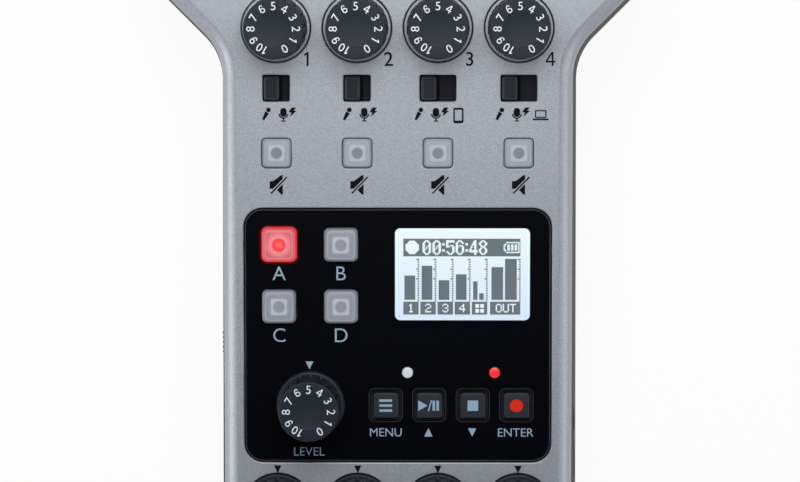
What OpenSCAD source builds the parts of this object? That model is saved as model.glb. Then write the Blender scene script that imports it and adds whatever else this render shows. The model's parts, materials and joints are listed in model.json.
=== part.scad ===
// Four channel podcast recorder: a wedge shaped desktop body whose rear head flares out to take
// four microphone sockets. A silver lid carries the control deck, which slopes down to the front,
// and a dark lower case carries the sockets, the jack board and the batteries.
// X runs to the right, Y to the rear and Z up. The origin is on the table under the body's middle.
// The deck has a frame of its own: its origin is in the middle of the deck's top face, with Y up
// the slope and Z out of the deck. All lengths are in millimetres.

/* [Deck rows] */
// Distance between neighbouring channel columns
channel_pitch = 18.25; // [17.5:0.05:20]
// From an outer channel column to the side of the lid
side_margin = 12.3; // [12:0.1:16]
// From the rear edge to the gain knobs
gain_setback = 28.7; // [28:0.1:34]
// From the gain knobs to the select switches
select_gap = 13.65; // [13.5:0.05:18]
// From the select switches to the mute buttons
mute_gap = 14.65; // [12:0.05:18]
// From the mute buttons to the control panel
panel_gap = 12.5; // [8:0.1:18]
// Length of the control panel from front to rear
panel_l = 58; // [57:0.5:70]
// From the control panel to the phones knobs
phones_gap = 10.4; // [9.5:0.1:15]
// From the phones knobs to the front edge
front_margin = 17.1; // [16.5:0.1:24]

/* [Housing] */
// Slope of the deck, down to the front, in degrees
deck_tilt = 3; // [0:0.5:4]
// Height of the middle of the deck above the table
deck_z = 32.9; // [32.5:0.1:38]
// Depth of the lid, from the deck to the seam
lid_h = 6.5; // [5.5:0.1:7.5]
// Wall thickness of the lid and the lower case
wall = 2.2; // [2:0.1:2.6]
// Width of the rolled edge around the deck
roll_w = 3.3; // [2:0.1:4]
// Slope at which the rolled edge leaves the deck, in degrees
roll_lead = 18; // [5:1:30]
// How far each side of the lower case leans out at its foot
side_lean = 2; // [0:0.1:3]
// Corner radius at the front
front_r = 7; // [5:0.5:12]
// Radius of the neck where the head flares out
neck_r = 14; // [8:0.5:18]
// From the rear edge to the start of the neck
neck_setback = 40; // [38:0.5:46]
// Angle of the flare from the sides, in degrees
flare = 45; // [35:1:55]
// Radius of the shoulder at the end of the flare
shoulder_r = 5; // [4.5:0.5:8]
// Corner radius at the rear
rear_r = 4.5; // [4.2:0.1:8]
// Thickness of the floor of the lower case
floor_t = 2.2; // [2.2:0.1:3]
// Rounding of the bottom edge
base_round = 2.5; // [1:0.1:3]
// Diameter of a rubber foot
foot_d = 10; // [6:0.5:12]
// Height of a rubber foot
foot_h = 2; // [1:0.1:3]

/* [Control panel] */
// Margin of the lid beside the control panel
panel_side = 4.8; // [4.2:0.1:8]
// Corner radius of the control panel
panel_r = 4.3; // [2:0.1:6]
// Thickness of the control panel
panel_t = 1; // [0.6:0.1:1.2]
// How far the control panel lies below the deck
panel_sink = 0.2; // [0:0.05:0.4]
// Size of the display window, across
window_w = 30.5; // [28:0.1:32]
// Size of the display window, front to rear
window_l = 20.8; // [18:0.1:22]
// From the right edge of the panel to the window
window_inset = 4.95; // [4:0.05:8]
// From the rear edge of the panel to the window
window_drop = 4.65; // [4:0.05:8]
// Side of a pad button
pad_w = 7.7; // [7:0.1:9]
// Distance between pad buttons
pad_pitch = 14.05; // [13:0.05:15]
// From the left edge of the panel to the first pad column
pad_inset = 8; // [7.5:0.1:9]
// From the rear edge of the panel to the first pad row
pad_drop = 8.25; // [7.5:0.05:10]
// Side of a transport button
key_w = 6.05; // [5:0.05:6.5]
// Gap between a transport button and the panel
key_moat = 0.65; // [0.3:0.05:1]
// Distance between transport buttons
key_pitch = 9.9; // [9.6:0.1:10.4]
// From the right edge of the panel to the last transport button
key_inset = 7.9; // [7.5:0.1:9]
// From the front edge of the panel to the transport buttons
key_rise = 13.1; // [11:0.1:15]
// From the transport buttons to the lamps
lamp_rise = 7.4; // [6:0.1:9]
// Diameter of a lamp
lamp_d = 2.4; // [1.5:0.1:3]

/* [Knobs] */
// Diameter of a knob at the foot of its grip
knob_base_d = 13.9; // [13:0.1:14.4]
// Diameter of a knob's top
knob_top_d = 12.75; // [11:0.05:13]
// Height of a knob above the deck
knob_h = 11.2; // [9:0.1:14]
// Diameter of the skirt below the grip
skirt_d = 15; // [14.5:0.1:15.2]
// Height of the skirt above the deck
skirt_h = 0.3; // [0.1:0.1:1]
// Diameter of the well around a knob
well_d = 15.8; // [15.6:0.1:16.4]
// Number of grip notches round a knob
notch_count = 17; // [12:1:24]
// Width and depth of a grip notch
notch_w = 0.55; // [0.3:0.05:0.8]
// Diameter of the dished middle of a knob's top
dish_d = 7.8; // [4:0.1:9]
// Depth of the dish
dish_depth = 0.35; // [0.1:0.05:0.6]
// Diameter of a shaft
shaft_d = 6; // [4:0.1:6.4]
// Side of a potentiometer's body
pot_w = 9.8; // [9:0.1:11]

/* [Buttons and levers] */
// Side of a mute button
mute_w = 6.5; // [5.5:0.1:7.5]
// Height of a pad button above the deck
pad_top = 1.4; // [0.8:0.1:2]
// Height of a transport button above the deck
key_top = 0.7; // [0.3:0.1:1.5]
// How far a mute button lies below the deck
mute_sink = 0.15; // [0:0.05:0.6]
// Travel of a pad button
pad_travel = 0.8; // [0.5:0.05:1]
// Travel of a mute or transport button
key_travel = 0.5; // [0.3:0.05:0.8]
// Thickness of the flange that keeps a button in
flange_t = 0.8; // [0.6:0.1:1.2]
// How far a flange reaches past its button
flange_w = 1; // [0.8:0.1:1.2]
// Width of a select lever
lever_w = 3.6; // [3:0.1:4]
// Length of a select lever, front to rear
lever_l = 5.6; // [4.5:0.1:6]
// Height of a select lever above the deck
lever_top = 1; // [0.5:0.1:2]
// Step of a select lever from one position to the next
lever_step = 2.1; // [1.8:0.05:2.3]
// Width of the power slider's cap along the side
power_w = 5; // [4:0.1:6]
// Height of the power slider's cap
power_h = 3.4; // [3:0.1:3.8]
// Travel of the power slider
power_travel = 3; // [2:0.1:3.5]

/* [Sockets] */
// Distance between microphone sockets
xlr_pitch = 26; // [25.8:0.1:28]
// From an outer microphone socket to the side of the lid's head
xlr_margin = 15; // [14.5:0.1:18]
// Height of the microphone sockets' axes above the table
xlr_z = 17; // [16.9:0.1:17.2]
// Diameter of a microphone socket's nose
xlr_nose_d = 24.2; // [23.4:0.1:24.6]
// Diameter of a microphone socket's bore
xlr_bore_d = 19; // [18.6:0.1:19.4]
// Depth of a microphone socket's bore
xlr_bore_l = 15; // [14:0.5:15.5]
// Diameter of a microphone socket's insert
xlr_insert_d = 14.8; // [14:0.1:15.4]
// How far the insert lies inside the mouth
xlr_insert_sink = 4.6; // [4.4:0.1:6]
// Length of a microphone socket's body behind the rear wall
xlr_body_l = 15.5; // [15.5:0.1:16.5]
// Travel of a microphone socket's latch
latch_travel = 1.2; // [0.8:0.1:1.6]
// Diameter of a jack's bore
jack_bore_d = 3.6; // [3.5:0.05:3.8]
// Depth of a jack's bore
jack_bore_l = 14; // [12:0.5:15]
// Diameter of a jack's barrel
jack_barrel_d = 6; // [5.4:0.1:6.4]
// Width of a data port
port_w = 9; // [8.6:0.1:9.4]
// Height of a data port
port_h = 3.3; // [3.2:0.1:3.6]

/* [Power] */
// Diameter of a battery cell
cell_d = 14.5; // [14:0.1:14.6]
// Length of the battery bay
bay_l = 58; // [57.5:0.1:60]
// Room for a contact at each end of a battery cell
contact_room = 3.75; // [3.5:0.05:4.5]
// Travel of the battery cover
cover_travel = 5; // [3:0.5:6]

/* [Hidden] */
$fn = 64;

// Colours of the moulded and plated parts
silver = "#a4a9b0";
dark = "#3a3a3c";
black = "#121316";
knob_grey = "#34383f";
frost = "#8d9196";
steel = "#c8cacc";
green = "#2f6b3f";

// Clearances: between fixed parts, between moving parts, in a running bore and past a cut
fit = 0.1;
slide = 0.2;
running = 0.05;
past = 1;

// Room round the noses of the microphone sockets: between them, beside them, under them and over them
nose_web = 0.6;
nose_hole_r = xlr_nose_d / 2 + fit;
socket_pitch = max(xlr_pitch, 2 * nose_hole_r + 2 * nose_web);
socket_margin = max(xlr_margin, nose_hole_r + nose_web + wall);
socket_z = max(xlr_z, foot_h + floor_t + nose_hole_r + nose_web);

// Overall sizes of the lid
body_l = gain_setback + select_gap + mute_gap + panel_gap + panel_l + phones_gap + front_margin;
body_w = 3 * channel_pitch + 2 * side_margin;
head_w = 3 * socket_pitch + 2 * socket_margin;
rear_y = body_l / 2;
front_y = -body_l / 2;
nose_roof = socket_z + nose_hole_r + nose_web + lid_h / cos(deck_tilt);
deck_top = max(deck_z, nose_roof - (rear_y - wall) * tan(deck_tilt));

// Rows and columns of the deck
channel_x = [for (i = [0:3]) (i - 1.5) * channel_pitch];
gain_y = rear_y - gain_setback;
select_y = gain_y - select_gap;
mute_y = select_y - mute_gap;
panel_rear = mute_y - panel_gap;
panel_front = panel_rear - panel_l;
panel_y = (panel_rear + panel_front) / 2;
panel_w = body_w - 2 * panel_side;
phones_y = panel_front - phones_gap;
window_x = panel_w / 2 - window_inset - window_w / 2;
window_y = panel_rear - window_drop - window_l / 2;
pad_x = [for (i = [0:1]) -panel_w / 2 + pad_inset + i * pad_pitch];
pad_y = [for (i = [0:1]) panel_rear - pad_drop - i * pad_pitch];
key_x = [for (i = [0:3]) panel_w / 2 - key_inset - (3 - i) * key_pitch];
key_y = panel_front + key_rise;
lamp_x = [(key_x[0] + key_x[1]) / 2, (key_x[2] + key_x[3]) / 2];
lamp_y = key_y + lamp_rise;
dial_x = (pad_x[0] + pad_x[1]) / 2;
gain_places = [for (x = channel_x) [x, gain_y]];
phones_places = [for (x = channel_x) [x, phones_y]];
mute_places = [for (x = channel_x) [x, mute_y]];
pad_places = [for (y = pad_y, x = pad_x) [x, y]];
key_places = [for (x = key_x) [x, key_y]];
dial_place = [dial_x, key_y];
knob_places = concat(gain_places, phones_places, [dial_place]);

// Heights in the deck's frame, below the deck's top face
recess_depth = panel_t + panel_sink;
well_floor_t = 1;
well_depth = wall - well_floor_t;
knob_lift = 0.3;
stem_l = 0.95;
press_gap = 0.1;
push_h = 3;
push_w = 6;
board_depth = wall + slide + flange_t + stem_l + pad_travel + press_gap + push_h;
board_t = 1.6;
push_top = push_h - board_depth;

// Corner radii and small shapes of the deck
pad_r = 1.2;
key_r = 0.9;
mute_r = 0.9;
lever_r = 0.4;
stem_w = 3;
knob_roof_t = 1.5;
knob_wall = 1.2;
knob_edge = 0.5;
dish_floor_d = 3.6;
shaft_flat = 1;
bush_wall = 0.8;
pot_sink = 2;
shaft_r = shaft_d / 2;
bush_r = shaft_r + bush_wall;

// Select switches: positions, travels and windows
lever_positions = [2, 2, 3, 3];
lever_travel = [for (n = lever_positions) (n - 1) * lever_step];
lever_window_w = [for (t = lever_travel) lever_w + t + 2 * slide];
lever_window_l = lever_l + 2 * slide;
lever_stem_w = 1.6;
lever_stem_l = 2;
lever_reach = 3;
switch_rim = 1.4;

// The lower case
seat_z = foot_h + floor_t;
base_steps = 4;
roll_steps = 8;
roll_r = roll_w / (1 - sin(roll_lead));
corner_steps = 6;
least_r = 0.2;
lean_slope = side_lean / (deck_top - lid_h - foot_h);
lean_overlap = 10;
boss_r = 3.2;
case_screw_r = 1.3;
case_head_r = 2.4;
case_head_h = 1.8;
case_seat_t = 3;
board_screw_r = 0.85;
board_head_r = 1.8;
board_head_h = 1.2;
post_r = 2.5;
boss_clear = 0.7;
boss_bury = 1.5;
post_clear = 1.5;
front_boss_setback = 7.5;
rear_boss_drop = 4.8;
rear_post_drop = 7.5;
front_post_rise = 10.4;
front_boss_y = front_y + front_boss_setback;
rear_boss_y = gain_y - rear_boss_drop;
rear_post_y = mute_y - rear_post_drop;
front_post_y = phones_y + front_post_rise;
rear_screw_places = [for (side = [-1, 1]) [side * (body_w / 2 - wall - boss_bury), rear_boss_y]];
front_screw_places = [for (side = [-1, 1]) [side * (body_w / 2 - wall - boss_r - boss_clear), front_boss_y]];
case_screw_places = concat(front_screw_places, rear_screw_places);
post_x = body_w / 2 - wall - post_r - post_clear;
post_places = [for (side = [-1, 1], y = [front_post_y, rear_post_y]) [side * post_x, y]];
foot_side = 11;
front_foot_setback = 20;
rear_foot_setback = 12;
front_foot_y = front_y + front_foot_setback;
rear_foot_y = rear_y - rear_foot_setback;

// The control board and the display under the deck
control_board_side = 1.5;
control_board_w = body_w - 2 * wall - 2 * control_board_side;
control_board_front = front_boss_y + boss_r + 2 * slide;
control_board_rear = gain_y + pot_w / 2;
window_ledge = 0.5;
glass_rim = 1.5;

// The jack board and what stands on it
jack_board_z = 9;
jack_board_top = jack_board_z + board_t;
jack_board_side = 2;
jack_board_gap = 0.6;
jack_board_reach = 45.5;
jack_arm_w = 13;
jack_arm_l = 20;
jack_board_w = body_w - 2 * wall - 2 * jack_board_side;
jack_board_front = front_y + wall + jack_board_gap;
jack_board_rear = front_y + jack_board_reach;
jack_arm_rear = jack_board_rear + jack_arm_l;
standoff_x = channel_pitch;
standoff_front = 14;
standoff_back = 5;
arm_standoff_back = 3;
standoff_y = [front_y + standoff_front, jack_board_rear - standoff_back];
arm_standoff = [jack_arm_w - body_w / 2, jack_arm_rear - arm_standoff_back];
jack_w = 5.6;
jack_h = 5.2;
jack_z = jack_board_top + jack_h / 2;
jack_sink = 0.2;
jack_back_t = 1.2;
headset_reach = 36;
port_reach = [16.5, 26.5];
headset_y = front_y + headset_reach;
port_y = [for (reach = port_reach) front_y + reach];
port_l = 7.5;
port_wall = 0.35;
port_back_t = 1.2;
tongue_t = 0.7;
tongue_side = 1.2;
tongue_w = port_w - 2 * tongue_side;
tongue_sink = 0.8;
card_reach = 30.5;
card_y = front_y + card_reach;
card_w = 26;
card_l = 28;
card_h = 3;
card_slot_h = 2.3;
card_slot_w = 24.4;
card_back_t = 1;
power_reach = 10;
power_lift = 2.6;
power_y = jack_board_rear + power_reach;
power_z = jack_board_top + power_lift;
power_body_w = 11;
power_body_l = 6;
power_body_h = 5.2;
power_proud = 0.8;
power_gap = 0.6;

// The battery bay
cell_gap = 0.7;
cell_lift = 0.3;
cell_cap = 1;
bay_headroom = 0.5;
bay_w = 2 * cell_d + 3 * cell_gap;
bay_h = cell_d + cell_lift + bay_headroom;
bay_wall = 1.4;
bay_gap = 3.6;
bay_y = jack_board_rear + bay_gap + bay_wall + bay_l / 2;
cell_l = bay_l - 2 * contact_room;
cell_x = (cell_d + cell_gap) / 2;
cell_z = seat_z + cell_lift + cell_d / 2;
cover_t = 1.1;
cover_lap = 2.8;
cover_dovetail = 0.7;
cover_w = bay_w + 2 * cover_lap;
cover_l = bay_l + 2 * cover_lap;
grip_count = 5;
grip_pitch = 2.4;
grip_w = 12;
grip_l = 1;
grip_depth = 0.4;
grip_setback = 4;
contact_t = 0.4;
contact_w = cell_d - 4;
spring_r = 3;

// Microphone sockets
xlr_x = [for (i = [0:3]) (i - 1.5) * socket_pitch];
xlr_sink = 0.9;
xlr_face = rear_y - xlr_sink;
xlr_body_side = 0.2;
xlr_body_rise = 0.5;
xlr_body_r = 2.5;
xlr_body_w = xlr_nose_d + 2 * xlr_body_side;
xlr_body_h = xlr_nose_d + 2 * xlr_body_rise;
xlr_back = rear_y - wall - fit - xlr_body_l;
xlr_floor = xlr_face - xlr_bore_l;
pin_r = 1.3;
pin_wall = 0.3;
pin_sink = 0.6;
pin_circle = 3.9;
pin_angles = [90, 210, 330];
latch_w = 6;
latch_t = 1.25;
latch_lift = 0.15;
latch_z = socket_z + xlr_bore_d / 2 + latch_lift;
latch_l = 13;
hook_w = 4;
hook_h = 0.85;
hook_l = 1.5;
hook_setback = 2.4;

// Points of an arc from angle a to angle b
function arc(c, r, a, b) = [
    for (i = [0:corner_steps]) let (t = a + (b - a) * i / corner_steps) c + r * [cos(t), sin(t)]
];
// Radius left of a corner after it is moved in
function shrunk(r, inset) = max(r - inset, least_r);
// Centre of the neck's arc and of the shoulder's arc, tangent to one flare line
neck_c = [body_w / 2 + neck_r, rear_y - neck_setback];
shoulder_x = head_w / 2 - shoulder_r;
flare_n = [cos(flare), -sin(flare)];
shoulder_c = [shoulder_x, (shoulder_x * flare_n.x - neck_c * flare_n + neck_r + shoulder_r) / sin(flare)];
// Right half of the plan outline moved in by inset, from the front to the rear
function half_outline(inset) = concat(
    arc([body_w / 2 - front_r, front_y + front_r], shrunk(front_r, inset), -90, 0),
    arc(neck_c, neck_r + inset, 180, 180 - flare),
    arc(shoulder_c, shrunk(shoulder_r, inset), -flare, 0),
    arc([head_w / 2 - rear_r, rear_y - rear_r], shrunk(rear_r, inset), 0, 90)
);
// Whole outline moved in by inset
function outline(inset) = let (half = half_outline(inset), n = len(half)) concat(
    half,
    [for (i = [n - 1:-1:0]) [-half[i].x, half[i].y]]
);
// Height of the deck's plane, and of the seam below it, at a place along the body
function deck_at(y) = deck_top + y * tan(deck_tilt);
function seam_at(y) = deck_at(y) - lid_h;
// How far the lower case's sides lean out at a height, and its half width there
function lean_at(z) = side_lean - lean_slope * (z - foot_h);
function side_at(z) = body_w / 2 + lean_at(z);
// Inset and depth of the rolled edge where its slope is a
function roll_inset(a) = roll_r * (1 - sin(a));
function roll_depth(a) = roll_r * (cos(roll_lead) - cos(a));

// The plan outline moved in by inset, between two heights
module plan(inset, z0, z1) {
    translate([0, 0, z0])
        linear_extrude(z1 - z0)
            polygon(outline(inset));
}

// Right half of the plan outline, sheared so that its side leans out towards the foot
module leaning_half(inset, z0, z1) {
    multmatrix([[1, 0, -lean_slope, lean_at(0)], [0, 1, 0, 0], [0, 0, 1, 0]])
        translate([0, 0, z0])
            linear_extrude(z1 - z0)
                polygon(concat(
                    half_outline(inset),
                    [[-lean_overlap, rear_y - inset], [-lean_overlap, front_y + inset]]
                ));
}

// Both halves of the leaning plan outline
module leaning_plan(inset, z0, z1) {
    leaning_half(inset, z0, z1);
    mirror([1, 0, 0])
        leaning_half(inset, z0, z1);
}

// Places its children in the deck's frame
module on_deck(place = [0, 0]) {
    translate([0, 0, deck_top])
        rotate([deck_tilt, 0, 0])
            translate([place.x, place.y, 0])
                children();
}

// A plate with round corners between two heights
module plate(w, l, r, z0, z1) {
    translate([0, 0, z0])
        linear_extrude(z1 - z0)
            union() {
                square([w, l - 2 * r], center = true);
                square([w - 2 * r, l], center = true);
                for (x = [-1, 1], y = [-1, 1])
                    translate([x * (w / 2 - r), y * (l / 2 - r)])
                        circle(r);
            }
}

// A box centred in X and Y between two heights
module block(w, l, z0, z1) {
    translate([-w / 2, -l / 2, z0])
        cube([w, l, z1 - z0]);
}

// Everything above the seam between the lid and the lower case
module above_seam() {
    on_deck()
        translate([-head_w, -body_l, -lid_h])
            cube([2 * head_w, 2 * body_l, deck_top]);
}

// A cylinder along Y between two places
module rod_y(r, y0, y1) {
    translate([0, y0, 0])
        rotate([-90, 0, 0])
            cylinder(r = r, h = y1 - y0);
}

// Wells, holes and windows that the controls need in the deck
module deck_openings() {
    for (p = concat(gain_places, phones_places))
        translate(p) {
            translate([0, 0, -well_depth])
                cylinder(d = well_d, h = well_depth + past);
            translate([0, 0, -wall - past])
                cylinder(r = bush_r + slide, h = wall + past);
        }
    translate(dial_place)
        translate([0, 0, -wall - past])
            cylinder(r = bush_r + slide, h = wall + past);
    for (i = [0:3])
        translate([channel_x[i], select_y])
            plate(lever_window_w[i], lever_window_l, lever_r, -wall - past, past);
    for (p = mute_places)
        translate(p)
            plate(mute_w + 2 * slide, mute_w + 2 * slide, mute_r + slide, -wall - past, past);
    translate([0, panel_y])
        plate(panel_w + 2 * fit, panel_l + 2 * fit, panel_r + fit, -recess_depth, past);
    for (p = pad_places)
        translate(p)
            plate(pad_w + 2 * slide, pad_w + 2 * slide, pad_r + slide, -wall - past, 0);
    for (p = key_places)
        translate(p)
            plate(key_w + 2 * slide, key_w + 2 * slide, key_r + slide, -wall - past, 0);
    for (x = lamp_x)
        translate([x, lamp_y, -wall - past])
            cylinder(d = lamp_d + 2 * fit, h = wall + past);
    translate([window_x, window_y])
        plate(window_w - 2 * window_ledge, window_l - 2 * window_ledge, pad_r, -wall - past, 0);
}

// Outer form of the lid, with its rolled edge in fine terraces
module rolled_slab() {
    step = (90 - roll_lead) / roll_steps;
    for (i = [0:roll_steps - 1])
        plan(roll_inset(roll_lead + (i + 0.5) * step), -lid_h, -roll_depth(roll_lead + i * step));
}

module top_case() {
    color(silver)
        difference() {
            union() {
                on_deck()
                    difference() {
                        rolled_slab();
                        plan(wall, -lid_h - past, -wall);
                    }
                intersection() {
                    above_seam();
                    for (p = case_screw_places)
                        translate([p.x, p.y, seam_at(p.y) - past])
                            cylinder(r = boss_r, h = past + lid_h - wall / 2);
                }
                on_deck()
                    for (p = post_places)
                        translate([p.x, p.y, -board_depth])
                            cylinder(r = post_r, h = board_depth - wall / 2);
            }
            on_deck()
                deck_openings();
            for (p = case_screw_places)
                translate([p.x, p.y, seam_at(p.y) - past])
                    cylinder(r = case_screw_r + running, h = past + lid_h - wall);
            on_deck()
                for (p = post_places)
                    translate([p.x, p.y, -board_depth - past])
                        cylinder(r = board_screw_r + running, h = past + board_depth - wall);
        }
}

// Outer form of the lower case: a rounded foot in fine terraces, leaning sides and the seam
module bottom_form() {
    top = seam_at(rear_y) + past;
    difference() {
        for (i = [0:base_steps])
            let (a = 90 * i / base_steps)
                leaning_plan(base_round * (1 - sin(a)), foot_h + base_round * (1 - cos(a)), top);
        leaning_plan(wall, seat_z, top + past);
        above_seam();
    }
}

// Dovetailed run of the battery cover across X, between two places along Y
module cover_run(gap, y0, y1, z0, z1) {
    outer = cover_w / 2 - cover_dovetail + gap;
    inner = cover_w / 2 + gap;
    translate([0, y1, 0])
        rotate([90, 0, 0])
            linear_extrude(y1 - y0)
                polygon([[-outer, z0], [outer, z0], [inner, z1], [-inner, z1]]);
}

module bottom_case() {
    color(dark)
        difference() {
            union() {
                bottom_form();
                difference() {
                    for (p = case_screw_places)
                        translate([p.x, p.y, foot_h])
                            cylinder(r = boss_r, h = past + seam_at(p.y) - foot_h);
                    above_seam();
                }
                for (side = [-1, 1], y = standoff_y)
                    translate([side * standoff_x, y, foot_h])
                        cylinder(r = post_r, h = jack_board_z - foot_h);
                translate([0, bay_y, 0])
                    block(bay_w + 2 * bay_wall, bay_l + 2 * bay_wall, foot_h, seat_z + bay_h + bay_wall);
                translate([arm_standoff.x, arm_standoff.y, foot_h])
                    cylinder(r = post_r, h = jack_board_z - foot_h);
            }
            translate([0, bay_y, 0])
                block(bay_w, bay_l, foot_h - past, seat_z + bay_h);
            cover_run(slide, bay_y - cover_l / 2 - cover_travel - slide, bay_y + cover_l / 2 + slide,
                foot_h, foot_h + cover_t + fit);
            translate([0, 0, -past])
                cover_run(slide, bay_y - cover_l / 2 - cover_travel - slide, bay_y + cover_l / 2 + slide,
                    foot_h, foot_h + past);
            for (p = case_screw_places)
                translate([p.x, p.y, foot_h - past]) {
                    cylinder(r = case_screw_r + fit, h = deck_top);
                    cylinder(r = case_head_r + slide, h = past + seam_at(p.y) - case_seat_t - foot_h);
                }
            for (x = xlr_x)
                translate([x, 0, socket_z])
                    rod_y(nose_hole_r, rear_y - wall - past, rear_y + past);
            for (x = channel_x)
                translate([x, 0, jack_z])
                    rod_y(jack_barrel_d / 2 + fit, front_y - past, front_y + wall + past);
            side_openings();
        }
}

// Holes for the headset jack and data ports on the right, the card and power slider on the left
module side_openings() {
    reach = wall + 2 * past;
    translate([side_at(jack_z) - wall - past, headset_y, jack_z])
        rotate([0, 90, 0])
            cylinder(d = jack_barrel_d + 2 * fit, h = reach);
    for (y = port_y)
        translate([side_at(jack_board_top) + past, y, jack_board_top + port_h / 2])
            rotate([0, -90, 0])
                plate(port_h + 2 * fit, port_w + 2 * fit, port_h / 2 - fit, 0, reach);
    translate([-side_at(jack_board_top) - past, card_y - card_w / 2 - fit, jack_board_top - fit])
        cube([reach, card_w + 2 * fit, card_h + 2 * fit]);
    translate([-side_at(power_z) - past, power_y, power_z])
        rotate([0, 90, 0])
            plate(power_h + 2 * slide, power_w + power_travel + 2 * slide, lever_r, 0, reach);
}

module control_panel() {
    color(black)
        on_deck()
            difference() {
                translate([0, panel_y])
                    plate(panel_w, panel_l, panel_r, -recess_depth, -panel_sink);
                for (p = pad_places)
                    translate(p)
                        plate(pad_w + 2 * slide, pad_w + 2 * slide, pad_r + slide, -wall, past);
                for (p = key_places)
                    translate(p)
                        plate(key_w + 2 * key_moat, key_w + 2 * key_moat, key_r + key_moat / 2, -wall, past);
                for (x = lamp_x)
                    translate([x, lamp_y, -wall])
                        cylinder(d = lamp_d + 2 * fit, h = wall);
                translate([window_x, window_y])
                    plate(window_w + 2 * fit, window_l + 2 * fit, pad_r, -wall, past);
                translate(dial_place)
                    translate([0, 0, -wall])
                        cylinder(d = well_d, h = wall);
            }
}

module display_window() {
    color("#e6f2f6", 0.6)
        on_deck([window_x, window_y])
            plate(window_w, window_l, pad_r, -recess_depth, -panel_sink);
}

module display_module() {
    raised_w = window_w - 2 * window_ledge - 2 * fit;
    raised_l = window_l - 2 * window_ledge - 2 * fit;
    color("#eaf8fb")
        on_deck([window_x, window_y])
            union() {
                block(window_w + 2 * glass_rim, window_l + 2 * glass_rim, -board_depth, -wall - fit);
                plate(raised_w, raised_l, pad_r - fit, -wall - fit, -recess_depth - fit);
            }
}

module control_board() {
    board_l = control_board_rear - control_board_front;
    color(green)
        difference() {
            on_deck([0, control_board_front + board_l / 2])
                block(control_board_w, board_l, -board_depth - board_t, -board_depth);
            for (p = rear_screw_places)
                translate([p.x, p.y, seat_z])
                    cylinder(r = boss_r + slide, h = deck_top);
            on_deck()
                for (p = post_places)
                    translate([p.x, p.y, -board_depth - board_t - past])
                        cylinder(r = board_screw_r + fit, h = board_t + 2 * past);
        }
}

module jack_board() {
    board_l = jack_board_rear - jack_board_front;
    arm_x = (jack_arm_w - jack_board_w) / 2;
    color(green)
        difference() {
            union() {
                translate([0, jack_board_front + board_l / 2])
                    block(jack_board_w, board_l, jack_board_z, jack_board_top);
                translate([arm_x, (jack_board_rear + jack_arm_rear) / 2])
                    block(jack_arm_w, jack_arm_rear - jack_board_rear + past, jack_board_z, jack_board_top);
            }
            for (p = front_screw_places)
                translate([p.x, p.y, seat_z])
                    cylinder(r = boss_r + slide, h = deck_top);
        }
}

module pot_bodies() {
    color("#6d7178")
        on_deck()
            for (p = knob_places)
                translate(p)
                    difference() {
                        union() {
                            block(pot_w, pot_w, -board_depth, -wall - slide);
                            translate([0, 0, -wall - slide - past])
                                cylinder(r = bush_r, h = wall - recess_depth + slide + past);
                        }
                        translate([0, 0, pot_sink - board_depth])
                            cylinder(r = shaft_r + running, h = board_depth);
                    }
}

module switch_bodies() {
    color(black)
        union() {
            on_deck()
                for (i = [0:3])
                    translate([channel_x[i], select_y])
                        difference() {
                            block(lever_window_w[i] + 2 * switch_rim, lever_window_l + 2 * switch_rim,
                                -board_depth, -wall - slide);
                            block(lever_stem_w + lever_travel[i] + 2 * slide, lever_stem_l + 2 * slide,
                                -wall - lever_reach - slide, -wall + past);
                        }
            power_body();
        }
}

// Slide switch behind the left wall, standing on the jack board
module power_body() {
    inner = side_at(power_z) - wall - power_gap;
    translate([-inner + power_body_l / 2, power_y, 0])
        difference() {
            block(power_body_l, power_body_w, jack_board_top, jack_board_top + power_body_h);
            translate([-power_body_l / 2 - past, -(lever_stem_l + power_travel) / 2 - slide,
                power_z - lever_stem_w / 2 - slide])
                cube([lever_reach + past, lever_stem_l + power_travel + 2 * slide, lever_stem_w + 2 * slide]);
        }
}

module key_switches() {
    color("#2a2c30")
        on_deck()
            for (p = concat(mute_places, pad_places, key_places))
                translate(p) {
                    block(push_w, push_w, -board_depth, push_top - pad_travel);
                    translate([0, 0, -board_depth])
                        cylinder(r = stem_w / 2, h = push_h);
                }
}

module lamps() {
    color("#d8dde2")
        on_deck()
            for (x = lamp_x)
                translate([x, lamp_y, -board_depth])
                    cylinder(d = lamp_d, h = board_depth - panel_sink);
}

module xlr_jacks() {
    color("#1c1d20")
        for (x = xlr_x)
            translate([x, 0, socket_z])
                difference() {
                    union() {
                        translate([0, (xlr_back + rear_y - wall - fit) / 2])
                            plate(xlr_body_w, xlr_body_l, xlr_body_r, -xlr_body_h / 2, xlr_body_h / 2);
                        rod_y(xlr_nose_d / 2, rear_y - wall - past, xlr_face);
                    }
                    difference() {
                        rod_y(xlr_bore_d / 2, xlr_floor, rear_y + past);
                        rod_y(xlr_insert_d / 2, xlr_floor - past, xlr_face - xlr_insert_sink);
                    }
                    for (a = pin_angles)
                        translate(pin_circle * [cos(a), 0, sin(a)])
                            rod_y(pin_r + running, xlr_floor - past, rear_y);
                    translate([-latch_w / 2 - slide, xlr_face - latch_l - latch_travel - slide,
                        latch_z - socket_z - hook_h])
                        cube([latch_w + 2 * slide, latch_l + latch_travel + past + slide,
                            hook_h + latch_t + slide]);
                }
}

module xlr_contacts() {
    contact_face = xlr_face - xlr_insert_sink - pin_sink;
    color("#c9a94a")
        for (x = xlr_x, a = pin_angles)
            translate([x, 0, socket_z] + pin_circle * [cos(a), 0, sin(a)])
                difference() {
                    rod_y(pin_r, xlr_floor - past, contact_face);
                    rod_y(pin_r - pin_wall, xlr_floor + past, contact_face + past);
                }
}

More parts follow.
